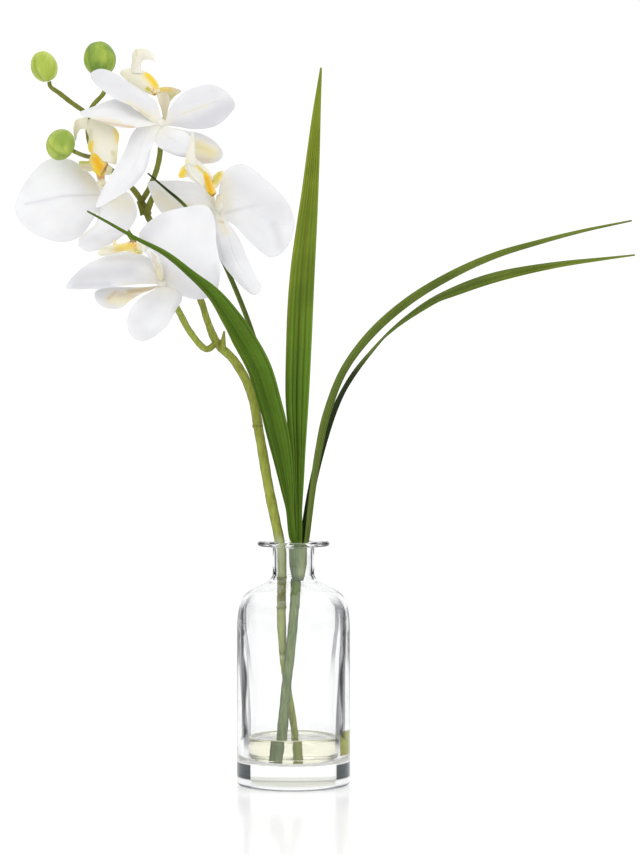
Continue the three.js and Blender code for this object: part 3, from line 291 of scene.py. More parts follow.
LEFT_PETALS = [
    dict(edge=[(-119.5, 1.2, 368.5), (-126, 1, 377), (-138, 0, 385.5), (-152, -1, 385), (-165.5, -2, 371),
        (-171.6, -3, 354), (-162.5, -2, 341.3), (-146, -1, 334.6), (-133, 0, 337), (-124, 1, 348),
        (-117, 1, 361)],
        camber=0.08, crease=0.07, cream=[(-132, 379, -124, 368, 4, 0.35)],
        shade=[(-120, 363.5, -140, 362.8, 0.7, 0.9), (-140, 362.8, -165, 357.5, 0.7, 0.8)]),
    # Its cream near the hub is painted warm shade
    dict(edge=[(-118.5, 1, 365), (-119, -2, 358), (-119.8, -5, 351), (-122, -8, 344.5), (-126.5, -10, 340),
        (-131, -12, 336), (-131.4, -14, 331), (-124, -14, 327.5), (-109.5, -13, 334), (-99.5, -11, 343),
        (-96, -7, 353), (-101.5, -2, 364.5), (-114, 1, 367)],
        camber=0.16, crease=0.15, cream=[(-110, 361, -103, 357, 7, 0.35)],
        blush=[(-121.5, 345, -126.5, 340.3, 1.5, 0.2), (-126.5, 340.3, -131, 336, 1.5, 0.25)],
        shade=[(-119.3, 356, -120.5, 348, 1, 0.9), (-128, 334, -120, 336, 3.5, 0.5)]),
    dict(edge=[(-119.5, 1, 364), (-121, 2, 350), (-118, 3, 340), (-113, 3, 336), (-107, 2, 342),
        (-106, 1.5, 352), (-115, 0.5, 364)],
        camber=0.1),
    dict(edge=[(-116.5, 3.5, 368.5), (-109, 5, 375.5), (-101.5, 6, 384.5), (-94, 6, 392.5),
        (-92.5, 6, 384.5), (-100, 5, 374), (-113, 3.5, 365.5)],
        camber=0.1),
    dict(edge=[(-119.5, 4, 368.5), (-129, 6, 376.5), (-141, 6, 382.5), (-149, 6, 379), (-143, 6, 371),
        (-131, 5, 366), (-119, 4, 364)],
        camber=0.1),
]
LEFT_FLAPS = [
    dict(edge=[(-121, -10, 384), (-125.8, -10, 391), (-125.5, -9.5, 398), (-127, -9, 403.5),
        (-124.5, -9, 409.5), (-114.5, -9, 407.5), (-107.3, -10, 401), (-107.3, -10.5, 394),
        (-108.5, -10.5, 381)],
        camber=0.25, gold=[(-108.5, 403, -107.2, 395, 1.8, 0.75), (-125, 385, -124, 394, 1.9, 1),
        (-108.8, 389, -109.2, 381, 1.2, 0.25)],
        tan=[(-110.8, 388.5, -110.3, 387.5, 1, 0.5), (-125, 396, -124, 402, 1.6, 0.3)],
        pale=[(-116, 395, -117, 388, 4, 0.35)]),
    dict(edge=[(-126, -9, 402.3), (-130, -9, 403.2), (-132.4, -8, 400.5), (-133.8, -6.5, 396.2),
        (-135, -8, 402.5), (-133.5, -9, 408.5), (-126, -9, 411)],
        camber=0.2, tan=[(-134, 398, -133, 408, 1.6, 0.35)]),
    dict(edge=[(-118.5, -10.4, 373.8), (-123.5, -10.4, 378), (-125.3, -10.4, 384), (-121.5, -10.6, 389.3),
        (-116.3, -10.8, 385.5), (-113.3, -10.8, 380.5), (-115.2, -10.6, 375.5)],
        camber=0.3, gold=[(-120, 388, -119, 376, 7, 1)], orange=[(-121, 384, -118, 379, 2.4, 0.75)],
        brown=[(-113.8, 381, -115.5, 378, 0.7, 0.8), (-115, 378, -117.5, 375, 0.6, 0.6)],
        tan=[(-117.5, 376.5, -115.5, 378, 1, 0.5)]),
    dict(edge=[(-120, -9.6, 383), (-126, -11, 383.4), (-131.4, -11.5, 382.7), (-128.3, -11.5, 377.3),
        (-119.8, -9.4, 377.5)],
        camber=0.1, green=[(-131, 382.3, -124, 382.3, 1.4, 0.9)], tan=[(-129, 379.5, -122, 379, 2.5, 0.7)]),
    dict(edge=[(-116, -10.4, 378), (-113.5, -11, 380.5), (-110.8, -11.5, 379.3), (-112, -11.5, 375),
        (-116, -10.4, 374.5)],
        camber=0.1, green=[(-112.5, 379.5, -112, 376.5, 1.2, 0.6)],
        tan=[(-115, 377, -113.5, 376, 1.2, 0.5)]),
]
RIGHT_PETALS = [
    dict(edge=[(-46, -3, 366), (-43, -2, 377.5), (-31, 0, 382.6), (-17, -1, 373), (-4, -3, 359.5),
        (0.6, -6, 346), (-3.5, -6, 331.5), (-14, -5, 324.6), (-27, -3, 334.5), (-37, -3, 345),
        (-45.5, -3, 348)],
        camber=0.08, crease=-0.12, cream=[(-42, 372, -40, 355, 4, 0.3)],
        shade=[(-42, 352, -25, 356.5, 0.7, 0.9), (-25, 356.5, -8, 358, 0.7, 0.7),
        (-36, 372, -10, 356, 9, 0.5), (-12, 345, -8, 332, 3, 0.6)]),
    dict(edge=[(-49, -2.5, 357), (-60, 1, 352.5), (-74, 4, 347.5), (-84, 5, 337), (-74, 5, 322),
        (-58, 4, 328), (-48, -2.5, 345)],
        camber=0.05),
    dict(edge=[(-48.5, -2.5, 352.5), (-48.8, -4, 341), (-47.6, -6.5, 328.5), (-41, -9, 317),
        (-30, -11, 304.8), (-23, -12, 301.1), (-19.2, -12, 305.5), (-23, -11, 313.5), (-28.5, -9, 325),
        (-34.5, -6, 338.5), (-44.5, -2.5, 351.5)],
        camber=0.18, crease=0.1, cream=[(-45.5, 351, -42, 340, 2.5, 0.45)],
        blush=[(-38, 343.5, -31, 332, 1.3, 0.2), (-47, 346.5, -43, 346.3, 0.5, 0.8)],
        shade=[(-47.5, 338, -42.5, 322, 1.2, 0.7), (-30, 322, -24, 308, 3, 0.15)]),
    # Its cream at the lower left is painted warm shade on the half seen from inside
    dict(edge=[(-48.5, -2, 362), (-58, 1, 370), (-68, 3, 372.3), (-78, 4, 372.8), (-86, 4, 372.6),
        (-90.3, 3.5, 371), (-88.3, 4, 364.5), (-84.5, 4, 356.5), (-79, 3.5, 351.8), (-68, 2, 354.5),
        (-48.5, -2.5, 351)],
        camber=-0.06, crease=-0.1, cream=[(-84, 363, -74, 355, 5, 0.45), (-70, 357, -62, 357, 3, 0.2)],
        blush=[(-66, 357.5, -62, 356.3, 1, 0.35)]),
    dict(edge=[(-45.5, 0, 359), (-40, 3, 370), (-30, 5, 376), (-20, 6, 372.5), (-24, 6, 363), (-35, 4, 356),
        (-44.8, 0, 353.5)],
        camber=0.05),
]
RIGHT_FLAPS = [
    dict(edge=[(-52.5, -16, 366), (-57, -18, 368), (-63, -20, 372), (-66, -21.5, 378), (-62.5, -22.5, 382),
        (-58, -21, 379.5), (-54.5, -19, 376.5), (-51.5, -17, 373), (-50, -16, 368)],
        camber=0.2, pale=[(-56, 368, -63, 379, 5, 0.9)], gold=[(-59, 379.5, -54, 375.5, 1.2, 0.8)],
        green=[(-57, 378, -55, 376, 0.8, 0.3)]),
    dict(edge=[(-66, -22, 379.5), (-64.8, -23.5, 386), (-62.8, -26, 393), (-60.8, -28, 399.8),
        (-60, -26, 393.5), (-59.6, -23.5, 386), (-58.5, -21, 379.5)],
        camber=0.3, pale=[(-62, 380, -61.5, 399, 4, 0.7)], gold=[(-65.5, 380.5, -65, 382, 1.5, 0.3)]),
    dict(edge=[(-62.5, -20.3, 373), (-68.5, -20.5, 372), (-69.8, -20.5, 373.5), (-68.3, -21, 378.3),
        (-65, -21, 380.5)],
        camber=0.15, gold=[(-68, 373.5, -66, 377, 2.6, 1)], pale=[(-63.5, 373, -64.5, 379, 1.2, 0.7)]),
    dict(edge=[(-49.3, -17, 360.7), (-52.6, -17.5, 363.8), (-54.2, -18, 369.5), (-56, -18.5, 374.8),
        (-54, -18.5, 376.3), (-51, -18, 373.2), (-49.3, -17.5, 369), (-47.8, -17, 366), (-46.8, -17, 363)],
        camber=0.35, gold=[(-54, 375, -50, 362, 4, 1)], orange=[(-52.5, 372, -50.5, 365, 1.8, 0.75)],
        brown=[(-48.8, 361.5, -47.2, 362.3, 0.9, 1), (-51.5, 363.3, -49.3, 361, 0.4, 0.6)],
        green=[(-55, 375.8, -53, 375.8, 0.8, 0.4)]),
    dict(edge=[(-48.5, -17, 366), (-49.7, -16.5, 370), (-48.3, -16, 374.3), (-43.3, -14, 377.4),
        (-43.5, -14, 372.5), (-44.8, -15, 369.5), (-46.5, -16.5, 366.5)],
        camber=0.15, green=[(-48.8, 370.5, -45.5, 375.3, 1.6, 0.55)],
        gold=[(-48.5, 370, -45, 374, 2.6, 0.9)], tan=[(-46.5, 367, -46, 371, 1.3, 0.4)],
        pale=[(-43.8, 376, -44, 371, 1.2, 0.7)]),
]
LOW_PETALS = [
    dict(edge=[(-81, -22, 311), (-87, -24, 322), (-93.5, -24, 334.5), (-91, -27, 341.5), (-80, -30, 349.5),
        (-66, -30, 353.3), (-53, -30, 354.5), (-47.6, -30, 346), (-46.4, -29, 331), (-43.9, -28, 316),
        (-47, -26, 302), (-59, -24, 297.8), (-75, -23, 302.5)],
        camber=0.05, crease=0.1,
        shade=[(-91, 337, -80, 346, 6, 0.55), (-76, 312, -62, 302, 5, 0.4), (-47, 318, -45, 306, 2, 0.4)]),
    dict(edge=[(-80.5, -22.5, 309.5), (-88, -20, 323.5), (-103, -17, 327.5), (-119, -17, 322.5),
        (-131, -21, 314.5), (-137.6, -28, 304.6), (-121, -29, 304.1), (-110, -29, 305.3), (-99, -28, 306.3),
        (-90, -26, 307), (-81, -23.5, 307)],
        camber=0.1, crease=0.25, shade=[(-130, 311, -100, 315, 7, 0.9), (-132, 306.5, -112, 307, 3, 1),
        (-112, 308, -92, 310, 3, 0.5)], cream=[(-104, 306.6, -88, 308, 0.8, 0.3)]),
    # Seen from inside and in shadow: its cream is painted warm shade
    dict(edge=[(-80.5, -22.5, 306.5), (-92, -21, 305.6), (-105, -20, 305.3), (-115, -20, 304.6),
        (-120.8, -21, 302.5), (-119, -25, 296), (-112.5, -28, 292.2), (-105, -28, 293), (-98.5, -27, 297.8),
        (-91, -26, 301.3), (-80.5, -23.5, 305.5)],
        camber=-0.1, cream=[(-100, 302, -88, 304.5, 2.2, 0.9), (-110, 298, -98, 297, 4, 0.7)],
        blush=[(-100, 302.8, -86, 304, 1.4, 0.8), (-112.5, 298.5, -108, 302.5, 1, 0.7),
        (-106, 301, -96, 299.5, 2.2, 0.55)], shade=[(-114, 298, -108, 293, 3, 0.3)]),
    dict(edge=[(-82, -24, 305), (-93, -26, 298.5), (-99.3, -29, 289.5), (-100.3, -31, 280.5),
        (-96, -33, 273.8), (-90.5, -34, 272.4), (-84, -33, 274.6), (-76, -31, 281.7), (-71, -28, 291.5),
        (-67.5, -25, 299.5), (-75, -23, 306)],
        camber=0.12, shade=[(-94, 284, -84, 298, 7, 0.45), (-72, 290, -69, 299, 1.6, 0.5),
        (-96, 280, -85, 276, 4, 0.3)]),
    dict(edge=[(-80, -21, 309.5), (-77, -16, 320), (-69, -13, 333), (-58.5, -12, 338.5), (-56, -12, 329),
        (-62, -14, 317), (-77, -21, 306.5)],
        camber=0.1),
]
LOW_FLAPS = [
    dict(edge=[(-92.6, -28.7, 331.4), (-97, -27.4, 333.3), (-102, -26.5, 332.1), (-109, -25, 331),
        (-115.5, -23.5, 329.8), (-118.9, -22.5, 326.3), (-116, -23, 324.3), (-109, -24.5, 325.7),
        (-102, -26, 327), (-96, -27.3, 325.3), (-91, -28.7, 325.3)],
        camber=0.3, gold=[(-106, 328.5, -97, 330, 3.2, 0.8), (-96, 328, -93, 325.8, 2, 0.7)],
        orange=[(-98.5, 331.3, -95.5, 330, 1.8, 0.3)], green=[(-95.5, 327.3, -93, 325.8, 1, 0.5)],
        brown=[(-99, 332.7, -95.3, 332.8, 0.5, 0.9)], speck=[(-99, 332, -94.5, 331.3, 1.4, 0.8)],
        pale=[(-117.5, 326, -110, 328, 3, 0.35)],
        tan=[(-116, 329, -104, 327.5, 1.4, 0.3), (-96, 329, -94.5, 327.5, 1, 0.3)]),
    dict(edge=[(-109.8, -24.8, 330), (-109.2, -24.6, 332.5), (-108.3, -24.5, 334), (-107.4, -24.7, 332.5),
        (-107, -25, 330)],
        camber=0.1, gold=[(-108.5, 331, -108.3, 333.5, 2, 0.4)]),
]
BLOOMS = {
    "bloom_top": dict(
        hub=(-81, -12, 406), petals=TOP_PETALS, flaps=TOP_FLAPS, stalk=[(-95.2, 14.5, 360, 1.8),
        (-90, 13, 368.5, 1.7), (-85.2, 8, 379, 1.7), (-82.6, 2, 388.5, 1.7), (-81.5, -5, 398.5, 1.6)],
        lip=[(-79, -8.6, 410.8, 1.2), (-79.2, -6, 416, 2.2), (-79.7, -4, 421, 3.6), (-81, -2.5, 426, 3)],
        lip_facings=[(0.2, -1, 0.1)],
        lip_marks=dict(tan=[(-80, 408, -79, 426, 4.5, 0.6)], pale=[(-80, 424, -79, 418, 2, 0.5)]),
        column=[(-84.8, -6.6, 414.8, 1.8), (-86.1, -5, 417.6, 1.6)]),
    "bloom_left": dict(
        hub=(-117.5, 2, 366.5), petals=LEFT_PETALS, flaps=LEFT_FLAPS, stalk=[(-84.5, 13, 341.6, 1.8),
        (-96, 11.5, 332, 1.8), (-101, 12, 338.5, 1.7), (-110, 12, 352, 1.7)],
        lip=[(-118.5, -6, 375, 2.5), (-119, -9, 382, 3.5), (-118.5, -10, 388, 4.5)],
        lip_facings=[(0, -1, 0.1)],
        lip_marks=dict(pale=[(-119, 368, -118, 374, 4, 0.8)], orange=[(-118, 373, -119, 386, 4, 0.7)]),
        column=[(-116.8, -7, 366.8, 2.5), (-117.6, -12.5, 370.2, 2.8)],
        column_marks=dict(blush=[(-118.2, 372.4, -117.8, 372, 0.8, 0.9)],
        cream=[(-118, 371, -117, 369, 3, 0.9)])),
    "bloom_right": dict(
        hub=(-47, -2, 354.5), petals=RIGHT_PETALS, flaps=RIGHT_FLAPS,
        stalk=[(-70.5, 9.5, 322, 1.8), (-57.5, 12, 337, 1.7), (-50.5, 7.5, 349, 1.6)],
        lip=[(-50.8, -9.5, 361.5, 2), (-51.5, -15, 367, 3), (-54, -18, 372, 5), (-59, -20, 377, 5),
        (-62.3, -22.5, 382, 3.4)], lip_facings=[(0.2, -1, 0.1)],
        lip_marks=dict(pale=[(-52, 362, -62, 380, 9, 0.7)]),
        column=[(-45.8, -9, 355.5, 2.4), (-45.2, -12.5, 359.5, 2.3), (-45, -14, 362, 1.8)],
        column_marks=dict(cream=[(-46, 356, -45, 364, 3, 0.6)], blush=[(-44.5, 362, -43.5, 358, 1, 0.3)])),
    "bloom_low": dict(
        hub=(-79.5, -22, 307.5), petals=LOW_PETALS, flaps=LOW_FLAPS,
        stalk=[(-47.5, 5, 272.5, 2), (-54.5, 1, 268.6, 2), (-63.7, -4, 279, 2), (-70.5, -9, 291.6, 2)],
        lip=[(-91.2, -29.2, 328.8, 2.2), (-94.6, -27.6, 329.4, 3)], lip_facings=[(-0.3, -1, 0.1)],
        lip_on_column=True, lip_marks=dict(pale=[(-89, 327, -93, 329, 3, 0.8)]),
        column=[(-80.6, -29, 313.5, 2.2), (-81.6, -30.2, 319, 2.3), (-84.6, -30, 324, 2.2),
        (-88.2, -29.6, 327.3, 2.1)], column_marks=dict(blush=[(-82, 317, -84.5, 322.5, 1.4, 0.55),
        (-85.5, 325.8, -83, 322.8, 0.6, 0.9), (-84.6, 322, -84.6, 320, 0.5, 0.9)],
        cream=[(-81, 310, -82, 316, 3, 0.8)])),
}

# How meshes are made: the step that finds a curve's direction, the share of a sheet's points that crowd to
# its edges, the share of its thickness left there, and how close to its poles a ball ends
DIRECTION_STEP = 0.004
CROWDED = 0.35
SHEET_RIM = 0.35
PETAL_RIM = 0.3
POLE = 0.06
PETAL_END = 0.994
BRACT_CUP = 0.35
BRACT_THICKNESS = 0.7
TURN_BLUR = 0.05

# How far light spreads under a plant's skin, and its red, green and blue against each other
LIGHT_DEPTH = 0.0012
LIGHT_SPREAD = (1.0, 0.8, 0.6)

# The stage: the table top's height and the cloud in its white, the blur of the grey cards painted on it,
# and where the card in the room begins sideways and ends upwards
TABLE_HEIGHT = -0.0002
TABLE_CLOUD = (0.94, 0.94, 0.95)
CARD_BLUR = 0.02
CARD_EDGE = (0.575, 0.605)
CARD_TOP = (0.3, 0.7)


# Curves

def spline(stations, t):
    """Places and sizes at t on a smooth curve through stations of [x, y, z, size]."""
    knots = np.array(stations, float)
    knots = np.vstack([2 * knots[0] - knots[1], knots, 2 * knots[-1] - knots[-2]])
    spans = len(stations) - 1
    place = np.clip(t, 0, 1) * spans
    index = np.minimum(place.astype(int), spans - 1)
    w = (place - index)[:, None]
    before, start, end, after = (knots[index + step] for step in range(4))
    leave, arrive = (end - before) / 2, (after - start) / 2
    values = ((2 * start - 2 * end + leave + arrive) * w + (3 * end - 3 * start - 2 * leave - arrive)) * w
    values = (values + leave) * w + start
    return values[:, :3], values[:, 3]


def unit(vectors):
    """Vectors of length 1."""
    vectors = np.asarray(vectors, float)
    return vectors / np.linalg.norm(vectors, axis=-1, keepdims=True)


def facing_at(facings, t):
    """The direction that a list of facings gives at t."""
    facings = np.array(facings, float)
    place = t * (len(facings) - 1)
    index = np.minimum(place.astype(int), max(len(facings) - 2, 0))
    w = (place - index)[:, None]
    w = w * w * (3 - 2 * w)
    following = facings[np.minimum(index + 1, len(facings) - 1)]
    return unit(facings[index] * (1 - w) + following * w)


def section_axes(stations, t, facings):
    """Axes of a curve's sections at t: across it, and out of its inner face."""
    along = unit(spline(stations, t + DIRECTION_STEP)[0] - spline(stations, t - DIRECTION_STEP)[0])
    across = unit(np.cross(facing_at(facings, t), along))
    return across, np.cross(along, across)


def turn(sides):
    """Angles of one turn."""
    return np.linspace(0, 2 * math.pi, sides, endpoint=False)


def arc(centre_radius, centre_height, radius, start, stop, steps):
    """Points of an arc from one angle to another, in degrees, about [radius, height]."""
    angles = np.radians(np.linspace(start, stop, steps + 1))
    return [(centre_radius + radius * math.cos(a), centre_height + radius * math.sin(a)) for a in angles]


def smooth_outline(points, steps):
    """Points along a smooth curve through a few [radius, height] points."""
    stations = [(radius, 0, height, 0) for radius, height in points]
    places = spline(stations, np.linspace(0, 1, steps + 1))[0]
    return [(place[0], place[2]) for place in places]


# Bodies: dictionaries of points in millimetres, faces, and a value of each kind at every point

def closed_body(rings, run, side, front):
    """A closed body through rings of equal length, shape (rings, around, 3)."""
    count, around = rings.shape[:2]
    points = np.vstack([rings.reshape(-1, 3), rings[0].mean(axis=0), rings[-1].mean(axis=0)])
    corner = np.arange(around)
    follow = (corner + 1) % around
    faces = []
    for ring in range(count - 1):
        a, b = ring * around + corner, ring * around + follow
        faces += np.stack([a, b, b + around, a + around], axis=1).tolist()
    first, top = count * around, (count - 1) * around
    faces += np.stack([np.full(around, first), follow, corner], axis=1).tolist()
    faces += np.stack([np.full(around, first + 1), top + corner, top + follow], axis=1).tolist()
    values = {}
    for name, value in (("run", run), ("side", side), ("front", front)):
        flat = np.broadcast_to(value, (count, around)).reshape(-1)
        values[name] = np.concatenate([flat, [flat[:around].mean(), flat[-around:].mean()]])
    return {"points": points, "faces": faces, "values": values}


def joined(bodies):
    """One body made of several."""
    faces, start = [], 0
    for body in bodies:
        faces += [[corner + start for corner in face] for face in body["faces"]]
        start += len(body["points"])
    names = bodies[0]["values"]
    return {
        "points": np.vstack([body["points"] for body in bodies]),
        "faces": faces,
        "values": {name: np.concatenate([body["values"][name] for body in bodies]) for name in names},
    }


def places_across(columns):
    """Places across a sheet from 1 to -1, closer together at its edges."""
    return np.cos(np.linspace(0, math.pi, columns)) * CROWDED + np.linspace(1, -1, columns) * (1 - CROWDED)


def thin_body(middle, across, inner, half, side, rise, run, thickness, rim):
    """A thin body whose middle surface rises from flat sections. rim is the thickness left at its edges."""
    spread = half[:, None] * side
    steps = np.gradient(spread, axis=1)
    slope = np.gradient(rise, axis=1) / np.where(np.abs(steps) < 1e-6, -1e-6, steps)
    across, inner = across[:, None, :], inner[:, None, :]
    normal = unit(inner - across * slope[:, :, None])
    place = middle[:, None, :] + across * spread[:, :, None] + inner * rise[:, :, None]
    thick = thickness * (rim + (1 - rim) * np.sqrt(np.clip(1 - np.abs(side) ** 4, 0, 1)))
    offset = normal * (thick[None, :, None] / 2)
    rings = np.concatenate([place + offset, (place - offset)[:, ::-1]], axis=1)
    front = np.repeat([1.0, 0.0], len(side))
    return closed_body(rings, run[:, None], np.concatenate([side, side[::-1]]), front)


def sheet(stations, facings, rows, columns, lift, thickness, least_half=0.0):
    """A thin sheet along stations of [x, y, z, half-width], raised by lift at each (run, side, half)."""
    run, side = np.linspace(0, 1, rows), places_across(columns)
    middle, half = spline(stations, run)
    half = np.maximum(half, least_half)
    axes = section_axes(stations, run, facings)
    rise = lift(run[:, None], side, half[:, None])
    return thin_body(middle, *axes, half, side, rise, run, thickness, SHEET_RIM)


def petal(spec, thickness, crease, ruffle, seed, rows=76, columns=56):
    """A petal or flap with a creased midrib and a gently waved surface, inside the edge in its spec."""
    outline = [(*point, 0) for point in spec["edge"]]
    run = PETAL_END * (1 - (1 - np.linspace(0, 1, rows)) ** 1.8)

    def edges(at):
        return spline(outline, at / 2)[0], spline(outline, 1 - at / 2)[0]

    left, right = edges(run)
    spread = np.linalg.norm(left - right, axis=1) / 2
    across = (left - right) / (2 * spread[:, None])
    ahead, behind = (sum(edges(run + step)) / 2 for step in (DIRECTION_STEP, -DIRECTION_STEP))
    inner = unit(np.cross(ahead - behind, across))
    front = 1 if (inner @ TOWARDS_VIEWER).mean() > 0 else -1
    side, at, half = places_across(columns), run[:, None], spread[:, None]
    fade = np.sin(math.pi * np.clip(at, 0, 1)) ** 0.7
    away = np.abs(side - front * spec.get("crease", 0))
    rise = half * (spec["camber"] * (1 - side ** 2) + spec.get("fold", 0) * np.maximum(0, 1 - away))
    rise = rise - crease * np.exp(-((away / 0.045) ** 2)) * fade * np.clip(1.25 - at, 0, 1)
    rise = rise + ruffle * np.abs(side) ** 3 * np.sin(7 * at + 1.3 * seed + 1.5 * np.sign(side)) * fade
    rise = rise + 0.5 * ruffle * np.sin(4 * at + seed) * np.sin(3 * side + 2 * seed) * fade
    middle = (left + right) / 2
    return thin_body(middle, across, inner, spread, side, front * rise, run, thickness, PETAL_RIM)


def rod(stations, steps, sides, ripple=0.0, seed=0.0):
    """A round rod through stations of [x, y, z, radius], a little uneven if it has a ripple."""
    t = np.linspace(0, 1, steps + 1)
    across, inner = section_axes(stations, t, [TOWARDS_VIEWER])
    middle, radius = spline(stations, t)
    angle, phase = turn(sides), len(stations) * 6.0 * t[:, None]
    wave = np.sin(phase + 2 * angle + seed) * np.sin(2.3 * phase + seed)
    size = (radius[:, None] * (1 + ripple * wave))[:, :, None]
    way = across[:, None] * np.cos(angle)[:, None] + inner[:, None] * np.sin(angle)[:, None]
    return closed_body(middle[:, None] + size * way, t[:, None], np.cos(angle), 1.0)


def rings_about(centre, radius, height, sides):
    """Level rings about an upright axis through centre, one for each radius and height."""
    angle = turn(sides)
    level = (np.outer(radius, np.cos(angle)), np.outer(radius, np.sin(angle)))
    return np.stack([*level, np.repeat(height[:, None], sides, axis=1)], axis=2) + centre


def ball(centre, radius, half_height, sides=24, rows=16):
    """A closed ball with its own half height."""
    tilt = np.linspace(POLE, math.pi - POLE, rows)
    rings = rings_about(centre, radius * np.sin(tilt), -half_height * np.cos(tilt), sides)
    return closed_body(rings, 0, 0, 1)


def turned(outline, sides, axis=(0, 0)):
    """A body turned about an upright axis. Its outline of [radius, height] starts and ends on it."""
    radius, height = np.array(outline[1:-1], float).T
    rings = rings_about((*axis, 0), radius, height, sides)
    body = closed_body(rings, np.linspace(0, 1, len(rings))[:, None], np.cos(turn(sides)), 1.0)
    body["points"][-2:] = [(*axis, outline[end][1]) for end in (0, -1)]
    return body


def mark(body, marks, keys):
    """Adds strokes of colour to a body. Each fades away from its line."""
    places = body["points"][:, [0, 2]]
    for key in keys:
        value = np.zeros(len(places))
        for x, z, end_x, end_z, width, strength in marks.get(key, ()):
            start, way = np.array((x, z)), np.array((end_x - x, end_z - z))
            share = np.clip((places - start) @ way / max(way @ way, 1e-6), 0, 1)
            away = np.linalg.norm(places - start - share[:, None] * way, axis=1)
            value = np.maximum(value, strength * np.exp(-((away / width) ** 2)))
        body["values"][key] = value
    return body


def make_object(name, body, material, replaced):
    """A smooth mesh object in metres that stands for a CAD node, with the body's values as attributes."""
    mesh = bpy.data.meshes.new(name)
    mesh.from_pydata((body["points"] * MM).tolist(), [], body["faces"])
    mesh.update()
    mesh.polygons.foreach_set("use_smooth", [True] * len(mesh.polygons))
    for key, value in body["values"].items():
        attribute = mesh.attributes.new(key, "FLOAT", "POINT")
        attribute.data.foreach_set("value", np.ascontiguousarray(value, np.float32))
    mesh.materials.append(material)
    piece = bpy.data.objects.new(name, mesh)
    bpy.context.scene.collection.objects.link(piece)
    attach(piece, BODY)
    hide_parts(replaced)
    return piece


# Nodes

def add_node(tree, kind, inputs=None, **options):
    """Adds a shader node, sets its options, and sets or connects its inputs."""
    node = tree.nodes.new(kind)
    for key, value in options.items():
        setattr(node, key, value)
    for name, value in (inputs or {}).items():
        socket = node.inputs[name]
        if isinstance(value, bpy.types.NodeSocket):
            tree.links.new(value, socket)
        elif socket.type == "RGBA":
            socket.default_value = (*value[:3], 1.0)
        else:
            socket.default_value = value
    return node


def new_material(name):
    """An empty node material and its tree."""
    material = bpy.data.materials.new(name)
    material.use_nodes = True
    material.node_tree.nodes.clear()
    return material, material.node_tree


def calculate(tree, operation, first, second=0.0):
    """The result of a sum on one or two values."""
    return add_node(tree, "ShaderNodeMath", {0: first, 1: second}, operation=operation).outputs[0]


def product(tree, first, *others):
    """Several values multiplied together."""
    for other in others:
        first = calculate(tree, "MULTIPLY", first, other)
    return first


def remap(tree, value, low, high, to_low=0.0, to_high=1.0):
    """A value taken from one range to another, with smooth ends."""
    sockets = {"Value": value, "From Min": low, "From Max": high, "To Min": to_low, "To Max": to_high}
    return add_node(tree, "ShaderNodeMapRange", sockets, interpolation_type="SMOOTHSTEP").outputs["Result"]


def between(tree, value, low, high, blur):
    """1 where a value lies between two others, 0 elsewhere."""
    rising = remap(tree, value, low - blur, low + blur)
    return product(tree, rising, remap(tree, value, high - blur, high + blur, 1.0, 0.0))


def reading(tree, name):
    """The value that the mesh keeps under a name."""
    return add_node(tree, "ShaderNodeAttribute", attribute_name=name).outputs["Fac"]


def noise(tree, place, scale, detail, roughness):
    """A noise value at a place."""
    sockets = {"Vector": place, "Scale": scale, "Detail": detail, "Roughness": roughness}
    return add_node(tree, "ShaderNodeTexNoise", sockets).outputs["Fac"]


def cloud_noise(tree, scale, detail, upright=1.0, roughness=0.5):
    """A noise value over a piece, drawn out along its height where upright is less than 1."""
    place = add_node(tree, "ShaderNodeTexCoord").outputs["Object"]
    drawn_out = add_node(tree, "ShaderNodeMapping", {"Vector": place, "Scale": (1, 1, upright)})
    return noise(tree, drawn_out.outputs["Vector"], scale, detail, roughness)


def rib_noise(tree, run_scale, side_scale, scale, detail, roughness):
    """A noise value over a sheet, from its run and side values."""
    run = product(tree, reading(tree, "run"), run_scale)
    side = product(tree, reading(tree, "side"), side_scale)
    place = add_node(tree, "ShaderNodeCombineXYZ", {"X": run, "Y": side}).outputs["Vector"]
    return noise(tree, place, scale, detail, roughness)


def parts_of(tree, output):
    """The three parts of the place on a piece, or of the way that one looks."""
    place = add_node(tree, "ShaderNodeTexCoord").outputs[output]
    return add_node(tree, "ShaderNodeSeparateXYZ", {0: place}).outputs


def layered(tree, color, *layers):
    """A colour under layers of others, each given as (share, colour)."""
    for share, layer in layers:
        sockets = {0: share, 6: color, 7: layer}
        color = add_node(tree, "ShaderNodeMix", sockets, data_type="RGBA").outputs[2]
    return color


def mix_shaders(tree, share, first, second):
    """Two shaders mixed by a share."""
    return add_node(tree, "ShaderNodeMixShader", {0: share, 1: first, 2: second}).outputs[0]


def bump(tree, height, distance, strength):
    """A normal raised by a height."""
    sockets = {"Height": height, "Distance": distance, "Strength": strength}
    return add_node(tree, "ShaderNodeBump", sockets).outputs["Normal"]


def finish_material(
        material, color, roughness, normal=None, translucent=0.0, subsurface=0.0, specular=0.5, ior=1.5):
    """Puts a soft surface behind the output: a Principled shader with some light let through."""
    tree = material.node_tree
    sockets = {"Base Color": color, "Roughness": roughness, "Specular IOR Level": specular, "IOR": ior}
    if normal:
        sockets["Normal"] = normal
    if subsurface:
        sockets |= {"Subsurface Weight": subsurface, "Subsurface Radius": LIGHT_SPREAD}
        sockets["Subsurface Scale"] = LIGHT_DEPTH
    shader = add_node(tree, "ShaderNodeBsdfPrincipled", sockets).outputs["BSDF"]
    if translucent:
        through = add_node(tree, "ShaderNodeBsdfTranslucent", {"Color": color}).outputs["BSDF"]
        shader = mix_shaders(tree, translucent, shader, through)
    add_node(tree, "ShaderNodeOutputMaterial", {"Surface": shader})
    return material


